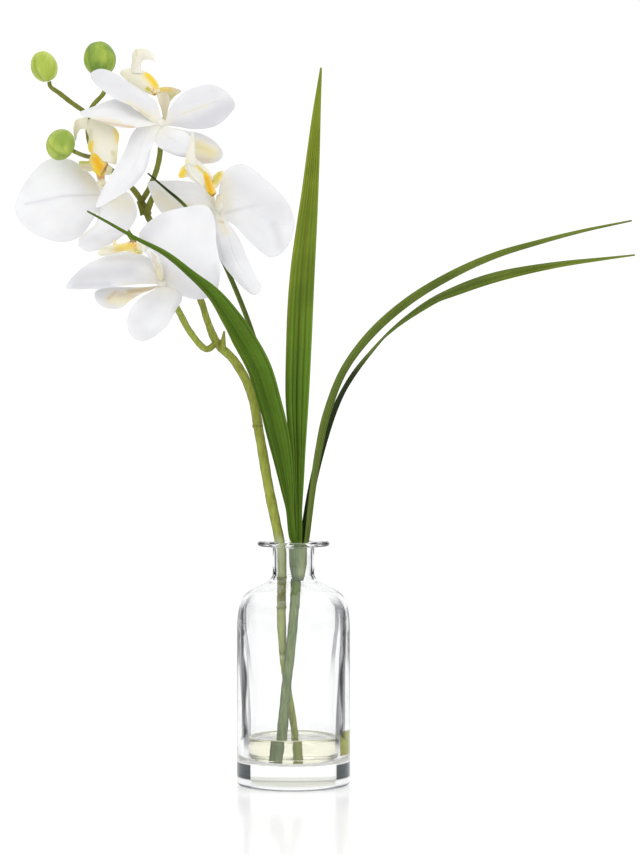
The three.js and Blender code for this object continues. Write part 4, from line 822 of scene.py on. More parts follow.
def finish_clear(material, tint_and_shade, passed_color, ior, matt_share, matt_color):
    """Puts a refracting surface behind the output, matt by a share. The light of lamps passes it."""
    tree = material.node_tree
    clear = add_node(tree, "ShaderNodeBsdfPrincipled", {
        "Base Color": tint_and_shade, "Roughness": 0.0, "IOR": ior, "Transmission Weight": 1.0,
    }).outputs["BSDF"]
    matt = add_node(tree, "ShaderNodeBsdfDiffuse", {"Color": matt_color}).outputs["BSDF"]
    passed = add_node(tree, "ShaderNodeBsdfTransparent", {"Color": passed_color}).outputs["BSDF"]
    lamp = add_node(tree, "ShaderNodeLightPath").outputs["Is Shadow Ray"]
    surface = mix_shaders(tree, lamp, mix_shaders(tree, matt_share, clear, matt), passed)
    add_node(tree, "ShaderNodeOutputMaterial", {"Surface": surface})
    return material


# Materials

def distance_out(tree, place):
    """How far a point is from the vase's axis."""
    squares = (product(tree, place[axis], place[axis]) for axis in ("X", "Y"))
    return calculate(tree, "SQRT", calculate(tree, "ADD", *squares))


def wall_band(tree, facing, place, outside):
    """The painted shade line inside each side of the wall, which runs further in towards the floor."""
    height = remap(tree, place["Z"], *BAND_MOVES)
    left = remap(tree, place["X"], 0.001, -0.001)
    extra = calculate(tree, "ADD", product(tree, height, LEFT_OUT), LEFT_AT)
    middle = calculate(tree, "ADD", product(tree, height, BAND_OUT), BAND_AT)
    middle = calculate(tree, "ADD", middle, product(tree, left, extra))
    away = calculate(tree, "ABSOLUTE", calculate(tree, "SUBTRACT", facing, middle))
    line = remap(tree, away, *BAND_WIDTH, 1.0, 0.0)
    outer = remap(tree, distance_out(tree, place), *OUTER_WALL)
    return product(tree, line, outside, outer, between(tree, place["Z"], *BAND_HEIGHTS))


def glass_material(settings):
    """The bottle's glass and ground foot, with painted shade and a painted stem image where seen from the
    side.
    """
    material, tree = new_material("clear glass")
    place = parts_of(tree, "Object")
    facing = add_node(tree, "ShaderNodeLayerWeight", {"Blend": 0.5}).outputs["Facing"]
    upright = add_node(tree, "ShaderNodeCombineXYZ", {"Z": 1.0}).outputs[0]
    level = add_node(tree, "ShaderNodeLayerWeight", {"Blend": 0.5, "Normal": upright}).outputs["Facing"]
    backfacing = add_node(tree, "ShaderNodeNewGeometry").outputs["Backfacing"]
    beside = remap(tree, level, *SEEN_FROM_SIDE)
    outside = product(tree, calculate(tree, "SUBTRACT", 1.0, backfacing), beside)

    def share_of(heights, edge_on):
        return product(tree, between(tree, place["Z"], *heights), remap(tree, facing, *edge_on), outside)

    # A painted image of the green stems, on the right of the wall beside the water
    caught = product(tree, share_of(*PAINTED_STEM_IMAGE), remap(tree, place["X"], *STEM_IMAGE_BESIDE))
    # Painted shade where the wall is seen edge-on, along each wall and at both ends of the base
    tint_and_shade = layered(
        tree, settings.glass_color,
        (share_of(*WALL_EDGE_SHADE), settings.edge_shade_color),
        (wall_band(tree, facing, place, outside), settings.band_shade_color),
        (share_of(*BASE_ENDS), settings.base_end_shade_color),
        (caught, settings.stem_image_color))
    ground = calculate(tree, "MAXIMUM", between(tree, place["Z"], *FOOT_HEIGHTS), share_of(*FOOT_SIDE))
    # The ground foot, darkened by a painted shade line along its bottom edge
    foot = layered(tree, settings.foot_color, (share_of(*FOOT_SHADE_EDGE), FOOT_SHADE_COLOR))
    matt = product(tree, ground, FOOT_MATT)
    return finish_clear(material, tint_and_shade, settings.glass_color, settings.ior, matt, foot)


def water_material(settings):
    """Clear water with a painted pale highlight where it meets the glass."""
    material, tree = new_material("pond water")
    place = parts_of(tree, "Object")
    at_wall = remap(tree, distance_out(tree, place), *EDGE_HIGHLIGHT_OUT)
    # A painted pale highlight along the water's edge at the glass
    skin = product(tree, between(tree, place["Z"], *EDGE_HIGHLIGHT_HEIGHTS), at_wall, EDGE_HIGHLIGHT_MATT)
    return finish_clear(material, settings.color, settings.color, settings.ior, skin, settings.edge_highlight_color)


def stem_material(name, green, dark, streak, sheath):
    """A plant stem: lengthwise streaks, darker flecks, painted shade along both sides and a satin skin."""
    material, tree = new_material(name)
    streaks = cloud_noise(tree, 900.0, 4.0, upright=0.12)
    patches = cloud_noise(tree, 90.0, 3.0)
    flecks = cloud_noise(tree, 420.0, 2.0)
    # Painted shade along both sides of the stem, where it turns away from the front
    edge = remap(tree, calculate(tree, "ABSOLUTE", reading(tree, "side")), 0.72, 1.0, 0.0, 0.75)
    color = layered(
        tree, green,
        (remap(tree, streaks, 0.35, 0.7), streak),
        (remap(tree, patches, 0.4, 0.75, 0.0, 0.35), dark),
        (remap(tree, flecks, 0.6, 0.75, 0.0, 0.3), dark),
        (reading(tree, "sheath"), sheath),
        (calculate(tree, "MAXIMUM", edge, reading(tree, "dusk")), dark))
    height = calculate(tree, "ADD", streaks, product(tree, patches, 0.6))
    return finish_material(
        material, color, remap(tree, streaks, 0.2, 0.8, 0.42, 0.6), bump(tree, height, 0.0004, 0.6),
        specular=0.25)


def blade_material(settings):
    """A grass blade: ribs, paler streaks, painted ridge highlights and groove shade, pale margin, darker
    underside.
    """
    material, tree = new_material("grass blade")
    ribs = rib_noise(tree, 3.0, 9.0, 6.0, 4.0, 0.6)
    fine = rib_noise(tree, 6.0, 40.0, 6.0, 3.0, 0.6)
    patches = cloud_noise(tree, 28.0, 3.0)
    under = calculate(tree, "SUBTRACT", 1.0, reading(tree, "front"))
    color = layered(
        tree, settings.green,
        (remap(tree, ribs, 0.38, 0.66), settings.streak),
        (remap(tree, fine, 0.45, 0.7, 0.0, 0.5), settings.deep),
        (reading(tree, "dull"), settings.olive),
        # Painted highlight along the ridges and one side
        (reading(tree, "ridge"), settings.light),
        # Painted shade along the grooves
        (reading(tree, "groove"), settings.deep),
        (reading(tree, "pale"), settings.margin),
        (remap(tree, patches, 0.42, 0.72, 0.0, 0.3), settings.deep),
        (product(tree, under, 0.9), settings.underside))
    return finish_material(
        material, color, remap(tree, fine, 0.3, 0.7, 0.34, 0.5), bump(tree, fine, 0.0003, 0.5),
        translucent=0.15, specular=0.12)


def bud_material(settings):
    """A bud's waxy skin: mottled green, darker at its seams."""
    material, tree = new_material("bud")
    mottle = cloud_noise(tree, 150.0, 3.0, upright=0.4)
    cloud = cloud_noise(tree, 60.0, 2.0)
    pale = remap(tree, mottle, 0.35, 0.7)
    young = layered(tree, settings.young, (pale, settings.pale))
    ripe = layered(tree, settings.ripe, (pale, settings.young))
    color = layered(
        tree, young,
        (reading(tree, "ripeness"), ripe),
        (product(tree, reading(tree, "seam"), 0.5), settings.deep),
        (remap(tree, cloud, 0.45, 0.75, 0.0, 0.35), settings.deep))
    return finish_material(
        material, color, remap(tree, mottle, 0.3, 0.7, 0.38, 0.5), bump(tree, mottle, 0.0003, 0.4),
        subsurface=0.15, specular=0.25)


def petal_material(name, settings):
    """White petal: fine veins, cream at its base, cool shading, blush and painted fold shade, light through
    the sheet.
    """
    material, tree = new_material(name)
    veins = rib_noise(tree, 2.2, 14.0, 4.0, 3.0, 0.55)
    cloud = cloud_noise(tree, 45.0, 3.0)
    grain = cloud_noise(tree, 900.0, 2.0)
    color = layered(
        tree, settings.white,
        (remap(tree, cloud, 0.35, 0.75, 0.0, 0.4), settings.shade),
        (reading(tree, "shade"), settings.shade),
        (remap(tree, veins, 0.5, 0.8, 0.0, 0.25), settings.shade),
        # Cream: the petals' own colour at their bases, and painted warm shade on inner faces in shadow
        (reading(tree, "cream"), settings.cream),
        # Blush: pink on the columns, and painted shade along folds and curled edges of the petals
        (reading(tree, "blush"), settings.blush))
    height = calculate(tree, "ADD", veins, product(tree, grain, 0.3))
    return finish_material(
        material, color, remap(tree, grain, 0.3, 0.7, 0.48, 0.6), bump(tree, height, 0.0003, 0.35),
        translucent=0.22, subsurface=0.1, specular=0.35)


def lip_material(settings):
    """The lip: cream, running into gold and orange, with small red-brown specks near its root."""
    material, tree = new_material("lip")
    cloud = cloud_noise(tree, 140.0, 3.0)
    grain = cloud_noise(tree, 700.0, 2.0)
    specks = remap(tree, cloud_noise(tree, 1100.0, 1.0, roughness=0.4), 0.58, 0.66)
    color = layered(
        tree, settings.cream, (remap(tree, cloud, 0.35, 0.7, 0.0, 0.4), settings.pale),
        *((reading(tree, key), getattr(settings, key)) for key in LIP_MARKS[:-1]),
        (product(tree, specks, reading(tree, "speck")), settings.brown))
    return finish_material(
        material, color, remap(tree, grain, 0.3, 0.7, 0.42, 0.55), bump(tree, cloud, 0.0004, 0.4),
        translucent=0.15, subsurface=0.12, specular=0.2)


def floor_material(settings):
    """A glossy white table top, with painted grey cards at both sides that only light bent by the glass
    sees.
    """
    material, tree = new_material("table top")
    place = parts_of(tree, "Object")
    behind = calculate(tree, "SUBTRACT", place["Y"], settings.card_start)
    sideways = calculate(tree, "ABSOLUTE", place["X"])
    beyond = calculate(tree, "SUBTRACT", sideways, product(tree, behind, settings.card_slope))
    bent = add_node(tree, "ShaderNodeLightPath").outputs["Is Transmission Ray"]
    near = remap(tree, behind, settings.card_gap - CARD_BLUR, settings.card_gap + CARD_BLUR)
    color = layered(
        tree, settings.floor_color,
        (remap(tree, cloud_noise(tree, 3.0, 2.0), 0.3, 0.7, 0.0, 0.1), TABLE_CLOUD),
        # Painted grey cards that only light bent through the glass sees
        (product(tree, remap(tree, beyond, 0.0, 0.004), near, bent), settings.painted_card_color))
    return finish_material(material, color, settings.floor_roughness, ior=settings.floor_ior)


# Outlines and stalks

def vase_outline():
    """Half of the bottle's section, up its outside and down its inside."""
    rim_round = RIM_THICKNESS / 2
    mouth = [
        (BORE_RADIUS + MOUTH_FLARE + 0.9, VASE_HEIGHT), (BORE_RADIUS + MOUTH_FLARE, VASE_HEIGHT - 0.3),
        (BORE_RADIUS + 0.5 * MOUTH_FLARE, VASE_HEIGHT - 3), (BORE_RADIUS, VASE_HEIGHT - 9),
        (BORE_RADIUS, 134), INNER_SHOULDER[0],
    ]
    return [
        (0, 0.8), (22, 0.8), (27, 0.5), (29.5, 0.05),
        *arc(BODY_RADIUS - BASE_ROUND, BASE_ROUND, BASE_ROUND, -90, 0, 8),
        (BODY_RADIUS, 8), (BODY_RADIUS, 30), (BODY_RADIUS, 70), (BODY_RADIUS, 90),
        *smooth_outline(OUTER_SHOULDER, 36),
        (NECK_RADIUS, 135), (NECK_RADIUS, VASE_HEIGHT - RIM_THICKNESS - 1.2),
        *arc(NECK_RADIUS + 0.8, VASE_HEIGHT - RIM_THICKNESS - 0.8, 0.8, 180, 90, 4),
        *arc(RIM_RADIUS - rim_round, VASE_HEIGHT - rim_round, rim_round, -90, 90, 10),
        *smooth_outline(mouth, 20),
        *smooth_outline(INNER_SHOULDER, 44)[1:],
        *arc(CAVITY_RADIUS - CAVITY_ROUND, FLOOR_HEIGHT + CAVITY_ROUND, CAVITY_ROUND, 0, -90, 10),
        (15, FLOOR_HEIGHT), (0, FLOOR_HEIGHT),
    ]


def water_outline():
    """Half of the water's section, with its edge drawn up the wall."""
    wall = CAVITY_RADIUS - WATER_GAP
    corner = CAVITY_ROUND - WATER_GAP
    return [
        (0, FLOOR_HEIGHT + WATER_GAP), (15, FLOOR_HEIGHT + WATER_GAP),
        *arc(CAVITY_RADIUS - CAVITY_ROUND, FLOOR_HEIGHT + CAVITY_ROUND, corner, -90, 0, 10),
        (wall, 26), (wall, WATER_LEVEL + 0.3), (wall - 0.3, WATER_LEVEL + 0.12), (wall - 0.9, WATER_LEVEL),
        (15, WATER_LEVEL), (0, WATER_LEVEL),
    ]


def seat_on(hub, point):
    """The place just clear of a hub, on the way to a point."""
    hub = np.array(hub, float)
    return tuple(hub + unit(point[:3] - hub) * (HUB_RADIUS + CLEARANCE))


def bloom_stalk(bloom):
    """A bloom's stalk, carried on to the back of its hub."""
    return [*bloom["stalk"], (*seat_on(bloom["hub"], bloom["stalk"][-1]), STALK_END)]


def bud_stalk(bud):
    """A bud's stalk, which turns into line with the bud."""
    base, tip = np.array((bud["base"], bud["tip"]), float)
    axis = unit(tip - base)
    return [*bud["stalk"], *((*(base - axis * gap), BUD_STALK_END) for gap in (BUD_APPROACH, CLEARANCE))]


# Settings

def color_property(name, description, default):
    """A colour that a user may change."""
    return FloatVectorProperty(
        name=name, description=description, subtype="COLOR", default=default, min=0, max=1)


def number_property(name, description, default, **options):
    """A number that a user may change."""
    return FloatProperty(name=name, description=description, default=default, **options)


def length_property(name, description, default):
    """A length in metres that a user may change."""
    return number_property(name, description, default, unit="LENGTH")


def power_property(name, description, default):
    """The power of a lamp that a user may change."""
    return number_property(name, description, default, unit="POWER")


def count_property(name, description, default):
    """A count of faces that a user may change."""
    return IntProperty(name=name, description=description, default=default, min=6)


class VaseSettings(bpy.types.PropertyGroup):
    facets: count_property("Facets", "Faces round the bottle", 144)
    glass_color: color_property("Glass", "Colour of the glass seen straight through", (0.985, 0.99, 0.99))
    # Painted shade where the glass is seen edge-on
    edge_shade_color: color_property("Glass edge", "Colour of the glass seen edge-on", (0.78, 0.79, 0.81))
    # Painted shade at both ends of the base
    base_end_shade_color: color_property("Base ends", "Dark glass at both ends of the base", (0.006, 0.009, 0.0105))
    # Painted shade of the line along each side of the wall
    band_shade_color: color_property("Band", "Grey of the line along each side of the wall", (0.2, 0.2, 0.22))
    foot_color: color_property("Foot", "Blue-grey of the ground foot", (0.96, 0.97, 0.99))
    # A painted image of the green stems in the wall beside the water
    stem_image_color: color_property(
        "Caught green", "Green of the stems caught in the wall beside the water", (0.09, 0.1, 0.003))
    ior: number_property("Refraction", "Index of refraction of the glass", 1.5, min=1)


class WaterSettings(bpy.types.PropertyGroup):
    facets: count_property("Facets", "Faces round the water", 144)
    color: color_property("Water", "Colour of the water", (0.95, 0.93, 0.75))
    # A painted highlight along the water's edge
    edge_highlight_color: color_property("Edge", "Pale line where the water meets the glass", (0.74, 0.77, 0.52))
    ior: number_property("Refraction", "Index of refraction of the water", 1.33, min=1)


class StemSettings(bpy.types.PropertyGroup):
    olive: color_property("Orchid stem", "Main colour of the orchid's stem", (0.27, 0.31, 0.035))
    olive_streak: color_property("Orchid streak", "Paler streaks on the orchid's stem", (0.37, 0.42, 0.075))
    olive_dark: color_property("Orchid dark", "Dark patches on the orchid's stem", (0.1, 0.1, 0.008))
    grass: color_property("Grass stem", "Main colour of the grass stem", (0.14, 0.2, 0.065))
    grass_streak: color_property("Grass streak", "Paler streaks on the grass stem", (0.26, 0.33, 0.13))
    grass_dark: color_property("Grass dark", "Dark patches on the grass stem", (0.04, 0.075, 0.03))
    sheath: color_property("Sheath", "Pale green of the thin skin round the stems", (0.5, 0.56, 0.32))
    sides: count_property("Sides", "Faces round the stems", 20)
    ripple: number_property("Unevenness", "Share of the radius by which a stem varies", 0.05)


class BladeSettings(bpy.types.PropertyGroup):
    green: color_property("Green", "Main green of the blades", (0.08, 0.175, 0.007))
    streak: color_property("Streak", "Paler streaks along the blades", (0.125, 0.25, 0.013))
    margin: color_property("Margin", "Yellow-green of the lit edge", (0.29, 0.35, 0.035))
    # Deep green also paints the shade in the grooves
    deep: color_property("Deep green", "Green of the grooves", (0.03, 0.06, 0.003))
    # Painted highlight along the ridges and the lit side
    light: color_property("Ridges", "Grey-green of the raised ridges", (0.163, 0.293, 0.033))
    olive: color_property("Olive", "Duller green of the thin blades", (0.22, 0.21, 0.08))
    underside: color_property("Underside", "Dark green of the blades' undersides", (0.014, 0.024, 0.006))
    thickness: length_property("Thickness", "Thickness of a blade at its middle", 0.0007)
    pleat_depth: length_property("Pleats", "Depth of the pleats along a blade", 0.00028)


class BudSettings(bpy.types.PropertyGroup):
    pale: color_property("Pale", "Palest green of a young bud", (0.62, 0.68, 0.17))
    young: color_property("Young", "Green of a young bud", (0.4, 0.5, 0.07))
    ripe: color_property("Ripe", "Green of a ripe bud", (0.17, 0.29, 0.045))
    deep: color_property("Deep", "Green of the seams", (0.12, 0.22, 0.03))
    seam_depth: number_property("Seam depth", "Depth of the seams as a share of the radius", 0.05)


class PetalSettings(bpy.types.PropertyGroup):
    white: color_property("White", "White of the petals", (0.94, 0.94, 0.95))
    shade: color_property("Shade", "Cool grey of the petals' shaded parts", (0.74, 0.74, 0.77))
    # Cream is the petals' own colour at their bases and painted warm shade on inner faces in shadow
    cream: color_property("Cream", "Cream of the petals' inner ends", (0.88, 0.81, 0.5))
    # Blush is partly the flower's own pink and partly painted shade along folds and curled edges
    blush: color_property("Blush", "Pinkish brown along folds", (0.74, 0.61, 0.42))
    thickness: length_property("Thickness", "Thickness of a petal at its middle", 0.0007)
    crease: length_property("Crease", "Depth of the midrib", 0.00035)
    ruffle: length_property("Ruffle", "Height of the waves at the edge", 0.0009)
    heart_size: length_property("Heart", "How far the cream reaches from the hub", 0.009)


class LipSettings(bpy.types.PropertyGroup):
    cream: color_property("Cream", "Cream of the lip", (0.88, 0.85, 0.68))
    pale: color_property("Pale", "Palest part of the lip", (0.88, 0.86, 0.78))
    gold: color_property("Gold", "Yellow of the lip", (0.9, 0.66, 0.04))
    orange: color_property("Orange", "Orange near the lip's root", (0.87, 0.42, 0.02))
    tan: color_property("Tan", "Shaded tan of the side lobes", (0.55, 0.45, 0.26))
    green: color_property("Olive", "Yellow-green parts of the lip", (0.5, 0.5, 0.07))
    brown: color_property("Brown", "Red-brown specks and edges", (0.26, 0.06, 0.02))
    thickness: length_property("Thickness", "Thickness of the lip at its middle", 0.0009)


class StageSettings(bpy.types.PropertyGroup):
    floor_color: color_property("Floor", "Colour of the table top", (0.96, 0.96, 0.96))
    floor_roughness: number_property("Floor roughness", "Blur of the reflection", 0.14)
    floor_ior: number_property("Floor gloss", "Index of refraction of the floor's polish", 1.09)
    card_start: length_property("Card start", "How far behind the middle the grey cards meet", 0.034)
    card_gap: length_property("Card gap", "How much white floor is left in front of the cards", 0.16)
    # Painted grey of the cards on the floor and in the room, seen only by bent and mirrored light
    painted_card_color: color_property("Card", "Grey of the cards that bent light sees", (0.05, 0.05, 0.056))
    card_slope: number_property("Card slope", "How fast the cards draw apart behind the object", 0.7)
    floor_size: length_property("Floor size", "Width of the floor", 14.0)
    sky: number_property("Room light", "Brightness of the room round the object", 1.07)
    key_power: power_property("Key light", "Power of the key light", 4.5)
    fill_power: power_property("Fill light", "Power of the fill light", 3.0)
    lens: number_property("Lens", "Focal length in millimetres", 112.05)
    camera_place: FloatVectorProperty(
        name="Camera", description="Where the camera stands", unit="LENGTH", subtype="TRANSLATION",
        default=(0.01635, -1.64, 0.2203))


SETTINGS = {
    "orchid_vase": VaseSettings, "orchid_water": WaterSettings, "orchid_stems": StemSettings,
    "orchid_blades": BladeSettings, "orchid_buds": BudSettings, "orchid_petals": PetalSettings,
    "orchid_lips": LipSettings, "orchid_stage": StageSettings,
}


# Operators

class ORCHID_OT_vase(bpy.types.Operator):
    """Build the clear bottle"""
    bl_idname = "orchid.vase"
    bl_label = "Bottle vase"

    def execute(self, context):
        settings = context.scene.orchid_vase
        body = turned(vase_outline(), settings.facets)
        make_object("bottle", body, glass_material(settings), "vase")
        return {"FINISHED"}


class ORCHID_OT_water(bpy.types.Operator):
    """Build the water in the bottle"""
    bl_idname = "orchid.water"
    bl_label = "Water"

    def execute(self, context):
        settings = context.scene.orchid_water
        body = turned(water_outline(), settings.facets)
        make_object("pool", body, water_material(settings), "water")
        return {"FINISHED"}


class ORCHID_OT_stems(bpy.types.Operator):
    """Build the orchid's stem with its stalks, joints and bracts"""
    bl_idname = "orchid.stems"
    bl_label = "Orchid stem"

    def execute(self, context):
        settings = context.scene.orchid_stems

        def lift(run, side, half):
            return half * BRACT_CUP * side ** 2

        shape = {"sides": settings.sides, "ripple": settings.ripple}
        bodies = [rod(MAIN_STEM, steps=260, **shape)]
        stalks = [*map(bloom_stalk, BLOOMS.values()), *map(bud_stalk, BUDS.values())]
        bodies += [rod(stations, steps=48, seed=number, **shape) for number, stations in enumerate(stalks)]
        bodies += [ball((x, y, z), radius, 0.8 * radius) for x, y, z, radius in STEM_JOINTS]
        bodies += [sheet(stations, [TOWARDS_VIEWER], 20, 14, lift, BRACT_THICKNESS) for stations in BRACTS]
        material = stem_material(
            "orchid stem", settings.olive, settings.olive_dark, settings.olive_streak, settings.sheath)
        body = joined([mark(body, STEM_STROKES, STEM_MARKS) for body in bodies])
        make_object("orchid_stalks", body, material, "orchid_stem")
        return {"FINISHED"}


class ORCHID_OT_grass_stem(bpy.types.Operator):
    """Build the grass stem and its sheath"""
    bl_idname = "orchid.grass_stem"
    bl_label = "Grass stem"

    def execute(self, context):
        settings = context.scene.orchid_stems
        material = stem_material(
            "grass stem", settings.grass, settings.grass_dark, settings.grass_streak, settings.sheath)
        stem = rod(GRASS_STEM, steps=90, sides=settings.sides, ripple=settings.ripple, seed=2.0)
        bodies = [stem, turned(SHEATH_OUTLINE, sides=40, axis=SHEATH_AXIS)]
        body = joined([mark(body, GRASS_STROKES, STEM_MARKS) for body in bodies])
        make_object("grass_stem_and_sheath", body, material, "grass_stem")
        return {"FINISHED"}


class ORCHID_OT_blades(bpy.types.Operator):
    """Build the five grass blades"""
    bl_idname = "orchid.blades"
    bl_label = "Grass blades"

    def execute(self, context):
        settings = context.scene.orchid_blades
        material = blade_material(settings)
        for name, blade in BLADES.items():

            def lift(run, side, half):
                root = np.minimum(1, 7 * run)
                keel = blade["fold"] * root * (np.sqrt(side ** 2 + 0.004) - 0.063)
                depth = settings.pleat_depth / MM * np.minimum(1, half / 4)
                return half * keel + depth * np.cos(math.pi * blade["pleats"] * side) * root

            body = sheet(blade["stations"], blade["facings"], 220, 41, lift, settings.thickness / MM)
            values = body["values"]
            side, run = values["side"], values["run"]

            def ramp(start, length):
                return np.clip((run - start) / length, 0, 1)

            # Painted highlight along ridges and painted shade along grooves
            for key in ("ridge", "groove"):
                strokes = (s * np.exp(-(((side - at) / width) ** 2)) for at, width, s in blade[key])
                values[key] = np.max([*strokes], axis=0)
            # Painted light brightening one side of the blade
            values["ridge"] = np.maximum(values["ridge"], blade["lit_side"] * np.clip(0.4 - side, 0, 1.2))
            first, full = blade["pale_from"]
            rim = np.clip((side - 0.7) / 0.3, 0, 1) * ramp(first, full - first)
            values["pale"] = np.clip(rim * blade["pale_side"] + blade["sun"] * ramp(0.45, 0.4), 0, 1)
            values["dull"] = np.full(len(side), blade["dull"])
            if "turned" in blade:
                start, end = blade["turned"]
                values["front"] = 1 - values["front"] * ramp(start, TURN_BLUR) * ramp(end, -TURN_BLUR)
            make_object(name + "_pleated", body, material, name)
        return {"FINISHED"}


class ORCHID_OT_buds(bpy.types.Operator):
    """Build the three closed buds"""
    bl_idname = "orchid.buds"
    bl_label = "Buds"

    def execute(self, context):
        settings = context.scene.orchid_buds
        material = bud_material(settings)
        share, height = np.array(smooth_outline(BUD_OUTLINE, 40)[1:-1]).T[:, :, None]
        angle = turn(48)
        seam = np.exp(-((np.sin(1.5 * (angle - 0.9)) / 0.16) ** 2))
        for name, bud in BUDS.items():
            base, tip = np.array((bud["base"], bud["tip"]), float)
            axis = unit(tip - base)
            across = unit(np.cross(TOWARDS_VIEWER, axis))
            inner = np.cross(axis, across)
            sunk = settings.seam_depth * seam * (0.3 + 0.7 * height)
            size = np.maximum(share, 0.001) * bud["radius"] * (1 - sunk)
            way = across * np.cos(angle)[:, None] + inner * np.sin(angle)[:, None]
            rings = base + (tip - base) * height[:, :, None] + way * size[:, :, None]
            body = closed_body(rings, height, seam, 1.0)
            body["points"][-2:] = base, tip
            body["values"]["seam"] = body["values"].pop("side")
            body["values"]["ripeness"] = np.full(len(body["points"]), bud["ripeness"])
            make_object(name + "_closed", body, material, name)
        return {"FINISHED"}


class ORCHID_OT_petals(bpy.types.Operator):
    """Build the petals and sepals of the four blooms"""
    bl_idname = "orchid.petals"
    bl_label = "Petals and sepals"

    def execute(self, context):
        settings = context.scene.orchid_petals
        material = petal_material("petal", settings)
        sizes = [value / MM for value in (settings.thickness, settings.crease, settings.ruffle)]
        for name, bloom in BLOOMS.items():
            bodies = [mark(petal(spec, *sizes, seed=number), spec, PETAL_MARKS)
                      for number, spec in enumerate(bloom["petals"])]
            bodies.append(mark(ball(bloom["hub"], HUB_RADIUS, HUB_RADIUS), {}, PETAL_MARKS))
            body = joined(bodies)
            away = np.linalg.norm(body["points"] - bloom["hub"], axis=1) * MM / settings.heart_size
            heart = HEART_STRENGTH * np.exp(-(away ** 2))
            body["values"]["cream"] = np.maximum(body["values"]["cream"], heart)
            make_object(name + "_petals", body, material, name + "_tepals")
        return {"FINISHED"}


class ORCHID_OT_lips(bpy.types.Operator):
    """Build the coloured lips of the four blooms"""
    bl_idname = "orchid.lips"
    bl_label = "Lips"

    def execute(self, context):
        settings = context.scene.orchid_lips
        material = lip_material(settings)
        thickness = settings.thickness / MM

        def lift(run, side, half):
            return half * 0.25 * side ** 2 + 0.3 * np.sin(9 * run) * np.abs(side) ** 3

        for name, bloom in BLOOMS.items():
            lip = bloom["lip"]
            if bloom.get("lip_on_column"):
                before, end = np.array(bloom["column"][-2:])[:, :3]
                foot = (*(end + unit(end - before) * LIP_ON_COLUMN_GAP), lip[0][3])
            else:
                foot = (*seat_on(bloom["hub"], lip[0]), LIP_FOOT)
            strip = sheet([foot, *lip], bloom["lip_facings"], 110, 22, lift, thickness, LEAST_LIP)
            bodies = [mark(strip, bloom["lip_marks"], LIP_MARKS)]
            bodies += [mark(petal(flap, thickness, 0, 0.4, number, 60, 40), flap, LIP_MARKS)
                       for number, flap in enumerate(bloom["flaps"])]
            make_object(name + "_lip_and_lobes", joined(bodies), material, name + "_lip")
        return {"FINISHED"}


class ORCHID_OT_columns(bpy.types.Operator):
    """Build the columns of the four blooms"""
    bl_idname = "orchid.columns"
    bl_label = "Columns"

    def execute(self, context):
        material = petal_material("column", context.scene.orchid_petals)
        for name, bloom in BLOOMS.items():
            stations = [(*seat_on(bloom["hub"], bloom["column"][0]), COLUMN_FOOT), *bloom["column"]]
            body = mark(rod(stations, steps=40, sides=24), bloom.get("column_marks", {}), PETAL_MARKS)
            make_object(name + "_column_rod", body, material, name + "_column")
        return {"FINISHED"}


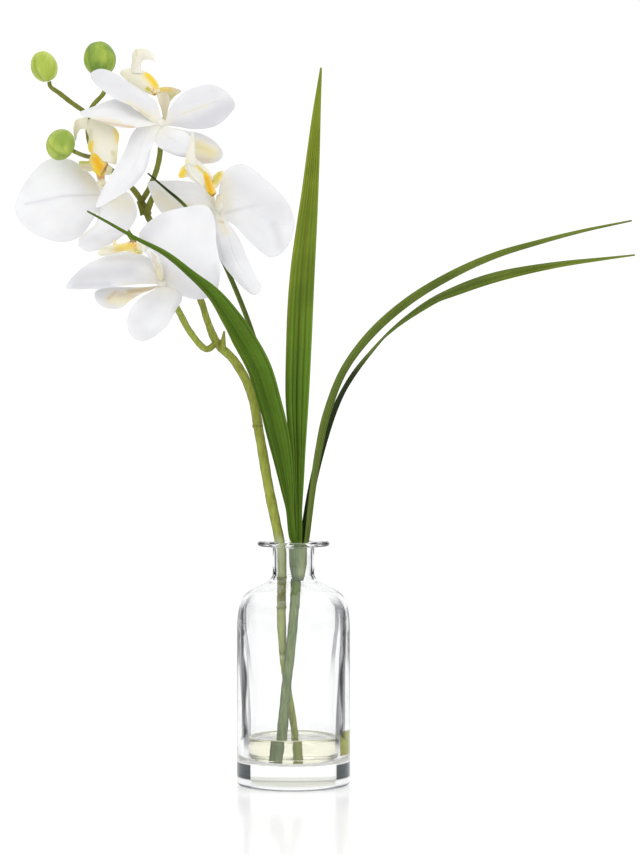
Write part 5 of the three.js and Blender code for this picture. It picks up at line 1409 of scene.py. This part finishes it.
class ORCHID_OT_stage(bpy.types.Operator):
    """Set the floor, the lights and the camera"""
    bl_idname = "orchid.stage"
    bl_label = "Stage"

    def execute(self, context):
        settings, scene = context.scene.orchid_stage, context.scene

        def place_in_scene(name, data, place=(0, 0, 0), turned_by=(0, 0, 0)):
            thing = bpy.data.objects.new(name, data)
            thing.location, thing.rotation_euler = place, turned_by
            scene.collection.objects.link(thing)
            return thing

        half = settings.floor_size / 2
        corners = [(-half, -half), (half, -half), (half, half), (-half, half)]
        mesh = bpy.data.meshes.new("table_top")
        mesh.from_pydata([(x, y, TABLE_HEIGHT) for x, y in corners], [], [(0, 1, 2, 3)])
        mesh.materials.append(floor_material(settings))
        floor = place_in_scene("table_top", mesh)

        scene.world = bpy.data.worlds.new("studio")
        scene.world.use_nodes = True
        tree = scene.world.node_tree
        tree.nodes.clear()
        way = parts_of(tree, "Generated")
        sideways = remap(tree, calculate(tree, "ABSOLUTE", way["X"]), *CARD_EDGE)
        low = remap(tree, way["Z"], *CARD_TOP, 1.0, 0.0)
        rays = add_node(tree, "ShaderNodeLightPath").outputs
        mirrored = calculate(tree, "MAXIMUM", rays["Is Transmission Ray"], rays["Is Glossy Ray"])
        card = product(tree, sideways, low, mirrored)
        color = layered(tree, (1.0, 1.0, 1.0), (card, settings.painted_card_color))
        background = add_node(tree, "ShaderNodeBackground", {"Color": color, "Strength": settings.sky})
        add_node(tree, "ShaderNodeOutputWorld", {"Surface": background.outputs[0]})

        for name, place, target, power, size in (
            ("key", (-1.0, -1.1, 1.5), (-0.06, 0, 0.3), settings.key_power, 1.0),
            ("fill", (1.3, -0.9, 0.8), (-0.04, 0, 0.25), settings.fill_power, 1.2),
        ):
            lamp = bpy.data.lights.new(name, "AREA")
            lamp.energy, lamp.size = power, size
            aim = (Vector(target) - Vector(place)).to_track_quat("-Z", "Y").to_euler()
            place_in_scene(name, lamp, place, aim).visible_camera = False

        camera = bpy.data.cameras.new("camera")
        camera.lens, camera.sensor_width, camera.clip_end = settings.lens, 36.0, 50.0
        scene.camera = place_in_scene("camera", camera, settings.camera_place, (math.pi / 2, 0, 0))
        scene.view_settings.view_transform = "Standard"
        return {"FINISHED"}


OPERATORS = (
    ORCHID_OT_stage, ORCHID_OT_vase, ORCHID_OT_water, ORCHID_OT_stems, ORCHID_OT_grass_stem,
    ORCHID_OT_blades, ORCHID_OT_buds, ORCHID_OT_petals, ORCHID_OT_lips, ORCHID_OT_columns,
)


class ORCHID_PT_panel(bpy.types.Panel):
    """The pieces of the arrangement and their settings"""
    bl_idname = "ORCHID_PT_panel"
    bl_label = "Orchid in a vase"
    bl_space_type = "VIEW_3D"
    bl_region_type = "UI"
    bl_category = "Orchid"

    def draw(self, context):
        layout = self.layout
        for operator in OPERATORS:
            layout.operator(operator.bl_idname)
        for name, group in SETTINGS.items():
            box = layout.box()
            box.label(text=name.replace("_", " ").capitalize())
            for key in group.__annotations__:
                box.prop(getattr(context.scene, name), key)


def register():
    """Registers the settings, the operators and the panel."""
    for name, group in SETTINGS.items():
        bpy.utils.register_class(group)
        setattr(bpy.types.Scene, name, PointerProperty(type=group))
    for operator in OPERATORS:
        bpy.utils.register_class(operator)
    bpy.utils.register_class(ORCHID_PT_panel)


def unregister():
    """Takes back what register did."""
    bpy.utils.unregister_class(ORCHID_PT_panel)
    for operator in reversed(OPERATORS):
        bpy.utils.unregister_class(operator)
    for name, group in reversed(SETTINGS.items()):
        delattr(bpy.types.Scene, name)
        bpy.utils.unregister_class(group)


def main():
    """Builds everything."""
    register()
    for operator in OPERATORS:
        family, name = operator.bl_idname.split(".")
        getattr(getattr(bpy.ops, family), name)()


if __name__ == "__main__":
    main()
